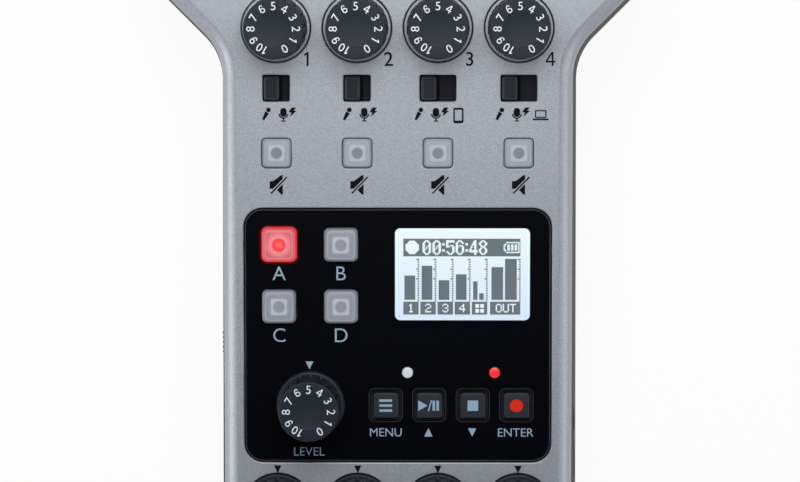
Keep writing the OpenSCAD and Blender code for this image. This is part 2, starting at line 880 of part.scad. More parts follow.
module xlr_latch(i) {
    color(steel)
        translate([xlr_x[i], 0, latch_z])
            union() {
                translate([-latch_w / 2, xlr_face - latch_l, 0])
                    cube([latch_w, latch_l + rear_y - xlr_face, latch_t]);
                translate([-hook_w / 2, xlr_face - hook_setback - hook_l, -hook_h + slide])
                    cube([hook_w, hook_l, hook_h]);
            }
}

// A jack along Y with its mouth at the origin, facing -Y, and a barrel of the given length
module audio_jack(barrel_l) {
    difference() {
        union() {
            rod_y(jack_barrel_d / 2, 0, barrel_l + fit);
            translate([-jack_w / 2, barrel_l, -jack_h / 2])
                cube([jack_w, jack_bore_l + jack_back_t - barrel_l, jack_h]);
        }
        rod_y(jack_bore_d / 2, -past, jack_bore_l);
    }
}

module audio_jacks() {
    through_l = wall + fit - jack_sink;
    lean_l = lean_slope * (jack_barrel_d + jack_h) / 2;
    color(black)
        union() {
            for (x = channel_x)
                translate([x, front_y + jack_sink, jack_z])
                    audio_jack(through_l);
            translate([side_at(jack_z - jack_barrel_d / 2) - jack_sink, headset_y, jack_z])
                rotate([0, 0, 90])
                    audio_jack(through_l + lean_l);
        }
}

module data_ports() {
    color(steel)
        for (y = port_y)
            translate([side_at(jack_board_top + port_h) - jack_sink, y, jack_board_top + port_h / 2])
                rotate([0, -90, 0])
                    difference() {
                        plate(port_h, port_w, port_h / 2 - fit, 0, port_l);
                        difference() {
                            plate(port_h - 2 * port_wall, port_w - 2 * port_wall,
                                port_h / 2 - port_wall - fit, -past, port_l - port_back_t);
                            block(tongue_t, tongue_w, tongue_sink, port_l);
                        }
                    }
}

module card_socket() {
    color(steel)
        translate([-side_at(jack_board_top + card_h) + jack_sink, card_y, jack_board_top])
            difference() {
                translate([0, -card_w / 2, 0])
                    cube([card_l, card_w, card_h]);
                translate([-past, -card_slot_w / 2, (card_h - card_slot_h) / 2])
                    cube([past + card_l - card_back_t, card_slot_w, card_slot_h]);
            }
}

module batteries() {
    color("#4c6e54")
        for (side = [-1, 1])
            translate([side * cell_x, 0, cell_z])
                union() {
                    rod_y(cell_d / 2, bay_y - cell_l / 2 + cell_cap, bay_y + cell_l / 2 - cell_cap);
                    rod_y(cell_d / 2 - cell_cap, bay_y - cell_l / 2, bay_y + cell_l / 2);
                }
}

module battery_contacts() {
    color(steel)
        for (side = [-1, 1], end = [-1, 1])
            translate([side * cell_x, bay_y + end * bay_l / 2, cell_z])
                rotate([0, 0, end > 0 ? 180 : 0])
                    union() {
                        translate([-contact_w / 2, 0, -contact_w / 2])
                            cube([contact_w, contact_t, contact_w]);
                        rod_y(spring_r, 0, contact_room - fit);
                    }
}

module screws() {
    color(steel)
        union() {
            for (p = case_screw_places)
                translate([p.x, p.y, seam_at(p.y) - case_seat_t]) {
                    translate([0, 0, -case_head_h])
                        cylinder(r = case_head_r, h = case_head_h);
                    translate([0, 0, -past / 2])
                        cylinder(r = case_screw_r, h = past / 2 + case_seat_t + lid_h - wall - past);
                }
            on_deck()
                for (p = post_places)
                    translate([p.x, p.y, -board_depth - board_t]) {
                        translate([0, 0, -board_head_h])
                            cylinder(r = board_head_r, h = board_head_h);
                        translate([0, 0, -board_head_h / 2])
                            cylinder(r = board_screw_r, h = board_head_h / 2 + board_t + board_depth / 2);
                    }
        }
}

module feet() {
    color("#202124")
        for (side = [-1, 1]) {
            translate([side * (body_w / 2 - foot_side), front_foot_y, 0])
                cylinder(d = foot_d, h = foot_h);
            translate([side * (head_w / 2 - foot_side), rear_foot_y, 0])
                cylinder(d = foot_d, h = foot_h);
        }
}

// The part of a round shaft or bore that is left beside its flat
module flatted(r, flat, z0, z1) {
    intersection() {
        translate([0, 0, z0])
            cylinder(r = r, h = z1 - z0);
        translate([-r - past, -flat, z0 - past])
            cube([2 * r + 2 * past, 2 * r + flat + past, z1 - z0 + 2 * past]);
    }
}

// A knob that turns about Z, standing over a well floor at the given depth
module knob(floor_depth) {
    z0 = knob_lift - floor_depth;
    base_r = knob_base_d / 2;
    top_r = knob_top_d / 2;
    roof = knob_h - knob_roof_t;
    hub_r = shaft_r + knob_wall;
    inner_r = top_r - knob_wall - notch_w / 2;
    notch_top = knob_h - 0.7 * knob_edge;
    color(knob_grey)
        difference() {
            rotate_extrude()
                polygon([
                    [0, z0], [hub_r, z0], [hub_r, roof], [inner_r, roof], [inner_r, z0],
                    [skirt_d / 2, z0], [skirt_d / 2, skirt_h], [base_r, skirt_h],
                    [top_r, knob_h - knob_edge], [top_r - knob_edge, knob_h],
                    [dish_d / 2, knob_h], [dish_floor_d / 2, knob_h - dish_depth], [0, knob_h - dish_depth]
                ]);
            flatted(shaft_r + running / 2, shaft_r - shaft_flat + running / 2, z0 - past, roof);
            for (i = [0:notch_count - 1])
                rotate([0, 0, i * 360 / notch_count])
                    translate([top_r - notch_w / 2, -notch_w / 2, skirt_h])
                        cube([base_r, notch_w, notch_top - skirt_h]);
        }
}

// A shaft from its potentiometer up into its knob, with a flat inside the knob
module shaft(floor_depth) {
    flat_z = knob_lift - floor_depth;
    color(steel)
        union() {
            translate([0, 0, pot_sink - board_depth + slide])
                cylinder(r = shaft_r, h = flat_z + board_depth - pot_sink - slide);
            flatted(shaft_r, shaft_r - shaft_flat, flat_z, knob_h - knob_roof_t - slide);
        }
}

// A push button: cap through the deck, flange under it and stem over its switch
module button(w, r, top, travel) {
    flange_top = -wall - slide;
    union() {
        plate(w, w, r, flange_top - flange_t, top);
        plate(w + 2 * flange_w, w + 2 * flange_w, r, flange_top - flange_t, flange_top);
        block(stem_w, stem_w, push_top + travel + press_gap, flange_top);
    }
}

module mute_button(i) {
    color(frost)
        on_deck(mute_places[i])
            button(mute_w, mute_r, -mute_sink, key_travel);
}

module pad_button(i) {
    color(i == 0 ? "#e07078" : "#5a5e64")
        on_deck(pad_places[i])
            button(pad_w, pad_r, pad_top, pad_travel);
}

module transport_button(i) {
    color("#32363e")
        on_deck(key_places[i])
            button(key_w, key_r, key_top, key_travel);
}

module select_lever(i) {
    color("#43474d")
        on_deck([channel_x[i] - lever_travel[i] / 2, select_y])
            union() {
                plate(lever_w, lever_l, lever_r, -wall, lever_top);
                block(lever_stem_w, lever_stem_l, -wall - lever_reach, -wall + past);
            }
}

module power_slider() {
    outer = side_at(power_z);
    inner = outer - wall;
    rest_y = power_y - power_travel / 2;
    color("#43474d")
        union() {
            translate([-outer - power_proud, rest_y, power_z])
                rotate([0, 90, 0])
                    plate(power_h, power_w, lever_r, 0, wall + power_proud);
            translate([-inner - past, rest_y - lever_stem_l / 2, power_z - lever_stem_w / 2])
                cube([lever_reach, lever_stem_l, lever_stem_w]);
        }
}

module battery_cover() {
    color(dark)
        difference() {
            cover_run(0, bay_y - cover_l / 2, bay_y + cover_l / 2, foot_h, foot_h + cover_t);
            for (i = [0:grip_count - 1])
                translate([-grip_w / 2, bay_y - cover_l / 2 + grip_setback + i * grip_pitch, foot_h - past])
                    cube([grip_w, grip_l, past + grip_depth]);
        }
}

top_case();
bottom_case();
control_panel();
display_window();
display_module();
control_board();
jack_board();
pot_bodies();
switch_bodies();
key_switches();
lamps();
xlr_jacks();
xlr_contacts();
audio_jacks();
data_ports();
card_socket();
batteries();
battery_contacts();
screws();
feet();
for (i = [0:3]) {
    on_deck(gain_places[i]) knob(well_depth);
    on_deck(gain_places[i]) shaft(well_depth);
    on_deck(phones_places[i]) knob(well_depth);
    on_deck(phones_places[i]) shaft(well_depth);
    select_lever(i);
    mute_button(i);
    pad_button(i);
    xlr_latch(i);
}
on_deck(dial_place) knob(recess_depth);  // pad_level_knob
on_deck(dial_place) shaft(recess_depth);  // pad_level_shaft
transport_button(0);  // menu_button
transport_button(1);  // play_button
transport_button(2);  // stop_button
transport_button(3);  // record_button
power_slider();
battery_cover();
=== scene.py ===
import json
import math

import bmesh
import bpy
import numpy as np
from mathutils import Matrix, Vector, geometry

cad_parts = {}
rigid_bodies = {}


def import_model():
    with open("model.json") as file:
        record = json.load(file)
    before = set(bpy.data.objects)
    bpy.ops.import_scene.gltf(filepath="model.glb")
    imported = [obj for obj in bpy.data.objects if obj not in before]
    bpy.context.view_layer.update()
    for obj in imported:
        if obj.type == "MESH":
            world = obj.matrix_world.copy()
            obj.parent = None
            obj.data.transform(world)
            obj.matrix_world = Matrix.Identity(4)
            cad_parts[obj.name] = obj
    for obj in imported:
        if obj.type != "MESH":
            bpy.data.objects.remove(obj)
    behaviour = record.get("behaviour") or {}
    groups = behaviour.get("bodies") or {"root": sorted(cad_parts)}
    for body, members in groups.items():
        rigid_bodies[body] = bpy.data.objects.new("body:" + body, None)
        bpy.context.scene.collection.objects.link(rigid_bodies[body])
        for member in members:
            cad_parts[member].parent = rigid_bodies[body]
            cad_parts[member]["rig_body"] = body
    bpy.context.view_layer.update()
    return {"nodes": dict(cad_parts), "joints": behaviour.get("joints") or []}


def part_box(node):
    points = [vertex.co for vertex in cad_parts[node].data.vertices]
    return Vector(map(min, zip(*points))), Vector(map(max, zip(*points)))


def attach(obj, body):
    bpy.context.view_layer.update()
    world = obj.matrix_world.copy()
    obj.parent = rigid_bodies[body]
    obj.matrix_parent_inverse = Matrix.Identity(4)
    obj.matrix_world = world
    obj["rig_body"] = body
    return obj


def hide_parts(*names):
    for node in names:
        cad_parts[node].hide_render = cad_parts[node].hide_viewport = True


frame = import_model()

# Lid: the upper shell, moulded in plastic and sprayed with a silver paint full of fine metal flakes.
# Its deck slopes down to the front, its edge rolls over in a broad curve that starts at a crease,
# and every opening in it has a small rounded lip. Screws from below pull it onto the lower case.
MM = 0.001
body_w = 79.35
head_w = 108.0
rear_y = 77.49
front_y = -77.5
front_r = 7.0
neck_r = 14.0
neck_y = 37.5
flare = 45.0
shoulder_r = 5.0
rear_r = 4.5
roll_w = 3.3
roll_lead = 18.0
lid_h = 6.5
lid_wall = 2.2
seam_gap = 0.25
well_r = 7.9
well_depth = 1.2
bush_hole_r = 4.0
channel_x = 18.25 * (np.arange(4) - 1.5)
select_y = 35.15
select_window_w = (6.1, 6.1, 8.2, 8.2)
select_window_l = 6.0
select_window_r = 0.45
mute_y = 20.5
mute_hole_w = 6.9
mute_hole_r = 1.1
panel_place = (0.0, -21.0)
panel_w = 69.75
panel_l = 58.0
panel_r = 4.3
panel_gap = 0.1
pad_x = (-26.875, -12.825)
pad_y = (-0.25, -14.3)
pad_hole_w = 8.1
pad_hole_r = 1.4
key_x = -2.725 + 9.9 * np.arange(4)
key_y = -36.9
key_hole_w = 6.45
key_hole_r = 1.1
lamp_x = (2.225, 22.025)
lamp_y = -29.5
lamp_r = 1.2
lamp_gap = 0.1
window_place = (14.675, -7.05)
window_w = 30.5
window_l = 20.8
window_r = 1.2
window_ledge = 0.5
window_gap = 0.1

joint_named = {joint["name"]: joint for joint in frame["joints"]}
knob_axis = joint_named["gain_1_turn"]["axis"]
deck_tilt = math.atan2(-knob_axis[1], knob_axis[2])
gain_mark = joint_named["gain_1_turn"]["pos_m"]
deck_z = (gain_mark[2] - gain_mark[1] * math.tan(deck_tilt)) / MM


def deck_place(joint):
    """Where a knob's axis meets the deck, across and up the slope from the middle of the deck."""
    x, y, _ = joint_named[joint]["pos_m"]
    return np.array([x, y / math.cos(deck_tilt)]) / MM


def on_deck(points):
    """Turns points by the deck's slope about X and lifts them to the deck's height."""
    u, v, w = np.moveaxis(np.asarray(points, float), -1, 0)
    c, s = math.cos(deck_tilt), math.sin(deck_tilt)
    return np.stack([u, v * c - w * s, deck_z + v * s + w * c], axis=-1)


def arc(centre, radius, start, end, steps=16):
    """Points of a circle between two angles in degrees, evenly spaced."""
    a = np.radians(np.linspace(start, end, steps + 1))
    return np.stack([centre[0] + radius * np.cos(a), centre[1] + radius * np.sin(a)], axis=1)


def lid_outline(inset):
    """Plan of the lid moved in by inset: four arcs from front to rear with straights between, mirrored."""
    lean = math.radians(flare)
    neck_c = np.array([body_w / 2 + neck_r, neck_y])
    shoulder_x = head_w / 2 - shoulder_r
    normal = np.array([math.cos(lean), -math.sin(lean)])
    reach = shoulder_x * normal[0] - neck_c @ normal + neck_r + shoulder_r
    shoulder_c = (shoulder_x, reach / math.sin(lean))
    half = np.concatenate([
        arc((body_w / 2 - front_r, front_y + front_r), front_r - inset, -90, 0),
        arc(neck_c, neck_r + inset, 180, 180 - flare),
        arc(shoulder_c, shoulder_r - inset, -flare, 0),
        arc((head_w / 2 - rear_r, rear_y - rear_r), rear_r - inset, 0, 90),
    ])
    return np.concatenate([half, half[::-1] * (-1, 1)])


def square_loop(place, w, l, r, steps=6):
    """A rectangle with round corners as a function of how far its outline is moved out."""
    def loop(out=0.0):
        x, y = w / 2 - r, l / 2 - r
        corners = ((x, y, 0), (-x, y, 90), (-x, -y, 180), (x, -y, 270))
        return np.concatenate([arc((cx, cy), r + out, a, a + 90, steps) for cx, cy, a in corners]) + place
    return loop


def square_holes(places, w, r):
    """Like squares with round corners, one at each place."""
    return [square_loop(p, w, w, r) for p in places]


def round_loop(place, r, steps=96):
    """A circle as a function of how far its outline is moved out."""
    def loop(out=0.0):
        return arc(place, r + out, 0, 360, steps)[:-1]
    return loop


def level(loop, w):
    """A flat loop lifted to a height."""
    return np.column_stack([loop, np.full(len(loop), w)])


def net(rows):
    """Quads between neighbouring rows of points, each row closed on itself."""
    rows = np.asarray(rows)
    k, n = rows.shape[:2]
    i, j = np.meshgrid(np.arange(k - 1) * n, np.arange(n), indexing="ij")
    along = (j + 1) % n
    faces = np.stack([i + j, i + along, i + n + along, i + n + j], axis=-1)
    return rows.reshape(-1, 3), faces.reshape(-1, 4)


def inside(points, loop):
    """A point is inside where a line to its right crosses the loop an odd number of times."""
    x, y = points[:, :1], points[:, 1:]
    a, b = loop, np.roll(loop, -1, axis=0)
    rise = np.where(a[:, 1] == b[:, 1], 1.0, b[:, 1] - a[:, 1])
    crossing = a[:, 0] + (y - a[:, 1]) / rise * (b[:, 0] - a[:, 0])
    spans = (a[:, 1] > y) != (b[:, 1] > y)
    return (spans & (x < crossing)).sum(axis=1) % 2 == 1


def sheet(loops, w):
    """Flat face at a height between a loop and its holes: a Delaunay net that keeps to the loops."""
    flat = np.concatenate(loops)
    starts = np.cumsum([0] + [len(loop) for loop in loops])
    edges = [(s + i, s + (i + 1) % len(loop)) for s, loop in zip(starts, loops) for i in range(len(loop))]
    found = geometry.delaunay_2d_cdt([Vector(p) for p in flat], edges, [], 1, 1e-9)
    points = np.array([(p.x, p.y) for p in found[0]])
    triangles = np.array(found[2])
    middle = points[triangles].mean(axis=1)
    crossed = sum(inside(middle, loop).astype(int) for loop in loops)
    return level(points, w), triangles[crossed % 2 == 1]


def collar(loop, lip, top, bottom, steps=4):
    """Edge of a face: a quarter circle of radius lip from it into a wall. Below 0 it is an outer edge."""
    turn = np.linspace(0, math.pi / 2, steps + 1)
    rows = [level(loop(lip * (1 - math.sin(a))), top - abs(lip) * (1 - math.cos(a))) for a in turn]
    return net(rows + [level(loop(), bottom)])


def slab(loops, low, high):
    """A flat shape with thickness: two sheets and a straight wall round each loop."""
    walls = [net([level(loop, low), level(loop, high)]) for loop in loops]
    return [sheet(loops, high), sheet(loops, low)] + walls


def make_piece(name, nets, material, body="chassis", place=on_deck, crease=40):
    """One mesh from several nets in millimetres: shared edges merge and faces turn outwards."""
    starts = np.cumsum([0] + [len(points) for points, _ in nets])
    points = place(np.concatenate([points for points, _ in nets])) * MM
    faces = [face for (_, quads), s in zip(nets, starts) for face in (np.asarray(quads) + s).tolist()]
    mesh = bpy.data.meshes.new(name)
    mesh.from_pydata(points.tolist(), [], faces)
    form = bmesh.new()
    form.from_mesh(mesh)
    bmesh.ops.remove_doubles(form, verts=form.verts, dist=2e-7)
    bmesh.ops.recalc_face_normals(form, faces=form.faces)
    form.to_mesh(mesh)
    form.free()
    mesh.shade_smooth()
    mesh.set_sharp_from_angle(angle=math.radians(crease))
    mesh.materials.append(material)
    piece = bpy.data.objects.new(name, mesh)
    bpy.context.scene.collection.objects.link(piece)
    even = piece.modifiers.new("even", "WEIGHTED_NORMAL")
    even.weight = 100
    even.keep_sharp = True
    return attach(piece, body)


def fit(piece, slot, *nodes):
    """Hides the parts of the frame that a piece stands in for, and returns the piece. Its slot is not used.
    """
    for node in nodes:
        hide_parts(node)
    return piece


class Shade:
    """A socket of a node tree. Arithmetic on it adds Math nodes, and node() adds any other node."""

    def __init__(self, tree, socket=None):
        self.tree = tree
        self.socket = socket

    def node(self, kind, settings=None, inputs=None, out=0):
        made = self.tree.nodes.new(kind)
        for name, value in (settings or {}).items():
            setattr(made, name, value)
        for name, value in (inputs or {}).items():
            self.feed(made.inputs[name], value)
        return Shade(self.tree, made.outputs[out])

    def feed(self, target, value):
        if isinstance(value, Shade):
            self.tree.links.new(value.socket, target)
        else:
            target.default_value = value

    def math(self, operation, *values):
        return self.node("ShaderNodeMath", {"operation": operation}, dict(enumerate(values)))

    def mix(self, low, high):
        """Between two colours, with this value as the share of the second."""
        return self.node("ShaderNodeMix", {"data_type": "RGBA"}, {0: self, 6: low, 7: high}, 2)

    def between(self, low, high):
        """Rises smoothly from 0 to 1 as this value goes from low to high."""
        inputs = {0: self, 1: low, 2: high}
        return self.node("ShaderNodeMapRange", {"interpolation_type": "SMOOTHSTEP"}, inputs)

    def part(self, axis):
        return self.node("ShaderNodeSeparateXYZ", None, {0: self}, axis)

    def most(self, other):
        """The larger of this value and another."""
        return self.math("MAXIMUM", self, other)

    def diagonal(self, other):
        """The root of the sum of this value's and another's squares."""
        return self.math("SQRT", self * self + other * other)

    def __add__(self, other):
        return self.math("ADD", self, other)

    def __sub__(self, other):
        return self.math("SUBTRACT", self, other)

    def __rsub__(self, other):
        return self.math("SUBTRACT", other, self)

    def __mul__(self, other):
        return self.math("MULTIPLY", self, other)

    def __pow__(self, other):
        return self.math("POWER", self, other)

    def __abs__(self):
        return self.math("ABSOLUTE", self)

    __radd__ = __add__
    __rmul__ = __mul__


def tone(red, green, blue):
    """A colour as seen on screen, from 0 to 255, turned into linear light."""
    share = np.array([red, green, blue]) / 255
    linear = np.where(share <= 0.04045, share / 12.92, ((share + 0.055) / 1.055) ** 2.4)
    return (*linear.tolist(), 1.0)


def new_finish(name, **constants):
    """A material of one Principled shader: it, its Object coordinates and a feed for its sockets."""
    material = bpy.data.materials.new(name)
    material.use_nodes = True
    tree = material.node_tree
    shader = tree.nodes["Principled BSDF"]
    for socket, value in constants.items():
        shader.inputs[socket.replace("_", " ").title().replace("Ior", "IOR")].default_value = value
    coords = Shade(tree).node("ShaderNodeTexCoord", out="Object")

    def feed(socket, value):
        coords.feed(shader.inputs[socket], value)
    return material, coords, feed


def noise(coords, scale, detail=2.0):
    """Cloudy value from 0 to 1 with about that many features to the metre."""
    inputs = {"Vector": coords, "Scale": scale, "Detail": detail}
    return coords.node("ShaderNodeTexNoise", None, inputs)


def bumps(coords, height, depth):
    """Normal of a surface that rises with height by up to depth metres."""
    inputs = {"Height": height, "Distance": depth, "Strength": 1.0}
    return coords.node("ShaderNodeBump", None, inputs)


def flake_paint(name, dark, light):
    """Metal flakes a sixth of a millimetre wide, each of its own brightness, under a thin clear coat."""
    material, coords, feed = new_finish(name, metallic=0.2, coat_weight=0.1, coat_roughness=0.3)
    cells = coords.node("ShaderNodeTexVoronoi", None, {"Vector": coords, "Scale": 5600.0}, "Color")
    flake = cells.part(0)
    grain = 0.6 * flake + 0.4 * noise(coords, 2600.0)
    feed("Base Color", grain.mix(dark, light))
    feed("Roughness", 0.34 + 0.14 * noise(coords, 900.0))
    feed("Normal", bumps(coords, flake, 0.000006))
    return material


silver_paint = flake_paint("silver_paint", tone(131, 136, 145), tone(171, 176, 184))

gain_places = [deck_place(f"gain_{i}_turn") for i in range(1, 5)]
phones_places = [deck_place(f"phones_{i}_turn") for i in range(1, 5)]
dial_place = deck_place("pad_level_turn")
mute_places = [np.array([x, mute_y]) for x in channel_x]
pad_places = [np.array([x, y]) for y in pad_y for x in pad_x]
key_places = [np.array([x, key_y]) for x in key_x]
lamp_places = [np.array([x, lamp_y]) for x in lamp_x]

wells = [round_loop(p, well_r) for p in gain_places + phones_places]
bush_holes = [round_loop(p, bush_hole_r, 48) for p in gain_places + phones_places]
select_windows = [square_loop((x, select_y), w, select_window_l, select_window_r)
                  for x, w in zip(channel_x, select_window_w)]
mute_holes = square_holes(mute_places, mute_hole_w, mute_hole_r)
panel_outline = square_loop(panel_place, panel_w, panel_l, panel_r, 12)
recess_size = (panel_w + 2 * panel_gap, panel_l + 2 * panel_gap, panel_r + panel_gap)
panel_recess = square_loop(panel_place, *recess_size, 12)
recess_holes = [round_loop(dial_place, bush_hole_r, 48)]
recess_holes += square_holes(pad_places, pad_hole_w, pad_hole_r)
recess_holes += square_holes(key_places, key_hole_w, key_hole_r)
recess_holes += [round_loop(p, lamp_r + lamp_gap, 32) for p in lamp_places]
window_sight = (window_w - 2 * window_ledge, window_l - 2 * window_ledge)
recess_holes.append(square_loop(window_place, *window_sight, window_r))

roll_share = np.array([0, 0.05, 0.15, 0.3, 0.45, 0.6, 0.75, 0.88, 1])
roll_turn = np.radians(roll_lead + (90 - roll_lead) * roll_share)
roll_r = roll_w / (1 - math.sin(math.radians(roll_lead)))
roll_inset = roll_r * (1 - np.sin(roll_turn))
roll_depth = roll_r * (math.cos(math.radians(roll_lead)) - np.cos(roll_turn))
lid_rows = [level(lid_outline(i), -d) for i, d in zip(roll_inset, roll_depth)]
lid_rows += [level(lid_outline(0), seam_gap - lid_h), level(lid_outline(seam_gap), -lid_h)]
lid_rows += [level(lid_outline(lid_wall), -lid_h), level(lid_outline(lid_wall), -lid_wall)]

well_lip = 0.2
window_lip = 0.25
recess_lip = 0.3
through = bush_holes + select_windows + mute_holes
deck_loops = [lid_outline(roll_w)] + [loop(well_lip) for loop in wells]
deck_loops += [loop(window_lip) for loop in select_windows + mute_holes] + [panel_recess(recess_lip)]
lid_nets = [net(lid_rows), sheet(deck_loops, 0.0)]
lid_nets.append(sheet([lid_outline(lid_wall)] + [loop() for loop in through + recess_holes], -lid_wall))
lid_nets += [collar(loop, well_lip, 0.0, -well_depth) for loop in wells]
lid_nets += [sheet([well(), hole()], -well_depth) for well, hole in zip(wells, bush_holes)]
lid_nets += [collar(loop, window_lip, 0.0, -lid_wall) for loop in select_windows + mute_holes]
lid_nets.append(collar(panel_recess, recess_lip, 0.0, -well_depth))
lid_nets.append(sheet([panel_recess()] + [loop() for loop in recess_holes], -well_depth))
for loop in bush_holes + recess_holes:
    lid_nets.append(net([level(loop(), -well_depth), level(loop(), -lid_wall)]))
fit(make_piece("lid", lid_nets, silver_paint), "silver_shell", "top_case")

# Lower case: the dark tub under the lid, moulded in grained plastic. Its sides lean out to a rounded
# foot, four deep bosses take the case screws, and a walled bay with a sliding cover holds the cells.
foot_h = 2.0
seat_z = 4.2
base_round = 2.5
side_lean = 2.0
case_wall = 2.2
boss_r = 3.2
boss_bore_r = 2.6
boss_places = ((33.575, -70.0), (-33.575, -70.0), (35.975, 44.0), (-35.975, 44.0))
boss_gap = 0.2
screw_seat = 3.0
rib_low = 3.0
bay_w = 31.1
bay_l = 58.0
bay_y = 2.0
bay_wall = 1.4
bay_room = 0.5
bay_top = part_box("batteries")[1].z / MM + bay_room
cover_w = 36.7
cover_l = 63.6
cover_dovetail = 0.7
cover_travel = 5.0
cover_gap = 0.2
bed_low = 1.3
bed_high = 3.2
bed_run = 0.5
below_floor = 1.0
socket_x = 26.0 * (np.arange(4) - 1.5)
socket_z = 17.0
socket_hole_r = 12.2
jack_z = 13.2
jack_hole_r = 3.1
headset_y = -41.5
port_y = (-61.0, -51.0)
port_z = 12.25
port_hole = (9.2, 3.5, 1.6)
card_place = (-47.0, 12.1)
card_hole = (26.2, 3.2, 0.2)
power_y = -22.0
power_hole = (8.4, 3.8, 0.4)
rear_wall = (70.0, 80.0)
front_wall = (-80.0, -74.0)
right_wall = (36.0, 44.0)
left_wall = (-44.0, -36.0)


def seam_z(y):
    """Height of the seam under the lid, which slopes as the deck does."""
    return deck_z + y * math.tan(deck_tilt) - lid_h / math.cos(deck_tilt)


def case_row(inset, height):
    """A row round the lower case: the lid's plan moved in, its halves moved apart towards the foot."""
    loop = lid_outline(inset)
    z = height(loop[:, 1]) if callable(height) else np.full(len(loop), height)
    lean = side_lean * (1 - (z - foot_h) / (deck_z - lid_h - foot_h))
    return np.column_stack([loop[:, 0] + np.sign(loop[:, 0]) * lean, loop[:, 1], z])


def as_built(points):
    """Points that are already in the recorder's own frame."""
    return np.asarray(points, float)


def along_y(nets):
    """Turns a slab so that its height runs to the rear and its second axis up."""
    return [(points[:, [0, 2, 1]], faces) for points, faces in nets]


def along_x(nets):
    """Turns a slab so that its height runs to the right and its second axis up."""
    return [(points[:, [2, 0, 1]], faces) for points, faces in nets]


def carve(piece, operation, *tools):
    """Adds or cuts closed tool shapes, one group after another, and keeps the resulting mesh."""
    for nets in tools:
        tool = make_piece("carving_tool", nets, piece.data.materials[0], place=as_built)
        step = piece.modifiers.new("carve", "BOOLEAN")
        step.operation = operation
        step.solver = "EXACT"
        step.object = tool
        bpy.context.view_layer.update()
        shown = piece.evaluated_get(bpy.context.evaluated_depsgraph_get())
        carved = bpy.data.meshes.new_from_object(shown)
        piece.modifiers.remove(step)
        piece.data = carved
        bpy.data.objects.remove(tool)
    piece.data.shade_smooth()
    piece.data.set_sharp_from_angle(angle=math.radians(40))


def grained_plastic(name, dark, light, roughness, grain=1400.0, depth=0.00003, gloss=0.5):
    """Moulded plastic with a spark eroded grain: small soft bumps, a little cloudy in colour and gloss."""
    material, coords, feed = new_finish(name, specular_ior_level=gloss)
    pits = noise(coords, grain, 3.0)
    cloud = noise(coords, 60.0)
    feed("Base Color", (0.55 * pits + 0.45 * cloud).mix(dark, light))
    feed("Roughness", roughness - 0.05 + 0.12 * pits)
    feed("Normal", bumps(coords, pits, depth))
    return material


case_plastic = grained_plastic("case_plastic", tone(42, 41, 43), tone(58, 57, 59), 0.6, gloss=0.12)
foot_turn = np.radians(np.linspace(90, 0, 7))
case_rows = [case_row(case_wall, seat_z), case_row(case_wall, seam_z), case_row(seam_gap, seam_z)]
case_rows.append(case_row(0, lambda y: seam_z(y) - seam_gap))
for a in foot_turn:
    case_rows.append(case_row(base_round * (1 - math.sin(a)), foot_h + base_round * (1 - math.cos(a))))
case_nets = [net(case_rows), sheet([case_rows[-1][:, :2]], foot_h), sheet([case_rows[0][:, :2]], seat_z)]
lower_case = make_piece("lower_case", case_nets, case_plastic, place=as_built)

bay_block = square_loop((0, bay_y), bay_w + 2 * bay_wall, bay_l + 2 * bay_wall, 0.5)()
bosses = [slab([round_loop(p, boss_r, 40)()], rib_low, seam_z(p[1]) - boss_gap) for p in boss_places]
carve(lower_case, "UNION", slab([bay_block], rib_low, bay_top + bay_wall), *bosses)
bay_hollow = slab([square_loop((0, bay_y), bay_w, bay_l, 0.3)()], below_floor, bay_top)
bed_half = cover_w / 2 + cover_gap
bed_mouth = bed_half - cover_dovetail - bed_run
bed_form = [(bed_mouth, bed_low), (bed_half, bed_high), (-bed_half, bed_high), (-bed_mouth, bed_low)]
bed_front = bay_y - cover_l / 2 - cover_travel - cover_gap
cover_bed = along_y(slab([np.array(bed_form)], bed_front, bay_y + cover_l / 2 + cover_gap))
boss_bores, socket_holes, jack_holes = [], [], []
for p in boss_places:
    boss_bores += slab([round_loop(p, boss_bore_r, 40)()], below_floor, seam_z(p[1]) - screw_seat)
for x in socket_x:
    socket_holes += along_y(slab([round_loop((x, socket_z), socket_hole_r)()], *rear_wall))
for x in channel_x:
    jack_holes += along_y(slab([round_loop((x, jack_z), jack_hole_r, 40)()], *front_wall))
right_holes = along_x(slab([round_loop((headset_y, jack_z), jack_hole_r, 40)()], *right_wall))
for y in port_y:
    right_holes += along_x(slab([square_loop((y, port_z), *port_hole)()], *right_wall))
left_holes = along_x(slab([square_loop(card_place, *card_hole)()], *left_wall))
left_holes += along_x(slab([square_loop((power_y, jack_z), *power_hole)()], *left_wall))
carve(lower_case, "DIFFERENCE", bay_hollow, cover_bed, boss_bores)
carve(lower_case, "DIFFERENCE", socket_holes, jack_holes, right_holes, left_holes)
fit(lower_case, "dark_shell", "bottom_case")

# Control panel: a black satin plate set into the lid around the pads, the display and the transport
# keys. It is cut with an opening for each control, and a bevelled lip runs round its edge.
panel_top = -0.2
panel_bottom = -1.15
panel_edge = 0.45
opening_lip = 0.12
key_moat_w = 7.35
key_moat_r = 1.2
panel_gloss = 0.03
glow_reach = 0.5


def panel_satin(lit_place):
    """Black satin with a fine grain. Red light spills on it and fades out from the rim of the lit pad."""
    material, coords, feed = new_finish("panel_black", specular_ior_level=panel_gloss, emission_strength=1.0)
    grain = noise(coords, 3000.0)
    u = coords.part(0) * (1 / MM) - lit_place[0]
    v = coords.part(1) * (1 / MM) - lit_place[1]
    straight = pad_hole_w / 2 - pad_hole_r
    away = (abs(u) - straight).most(0.0).diagonal((abs(v) - straight).most(0.0)) - pad_hole_r
    feed("Base Color", grain.mix(tone(2, 3, 7), tone(6, 7, 13)))
    feed("Roughness", 0.38 + 0.1 * grain)
    feed("Emission Color", away.between(-0.3, glow_reach).mix(tone(140, 2, 9), tone(0, 0, 0)))
    return material


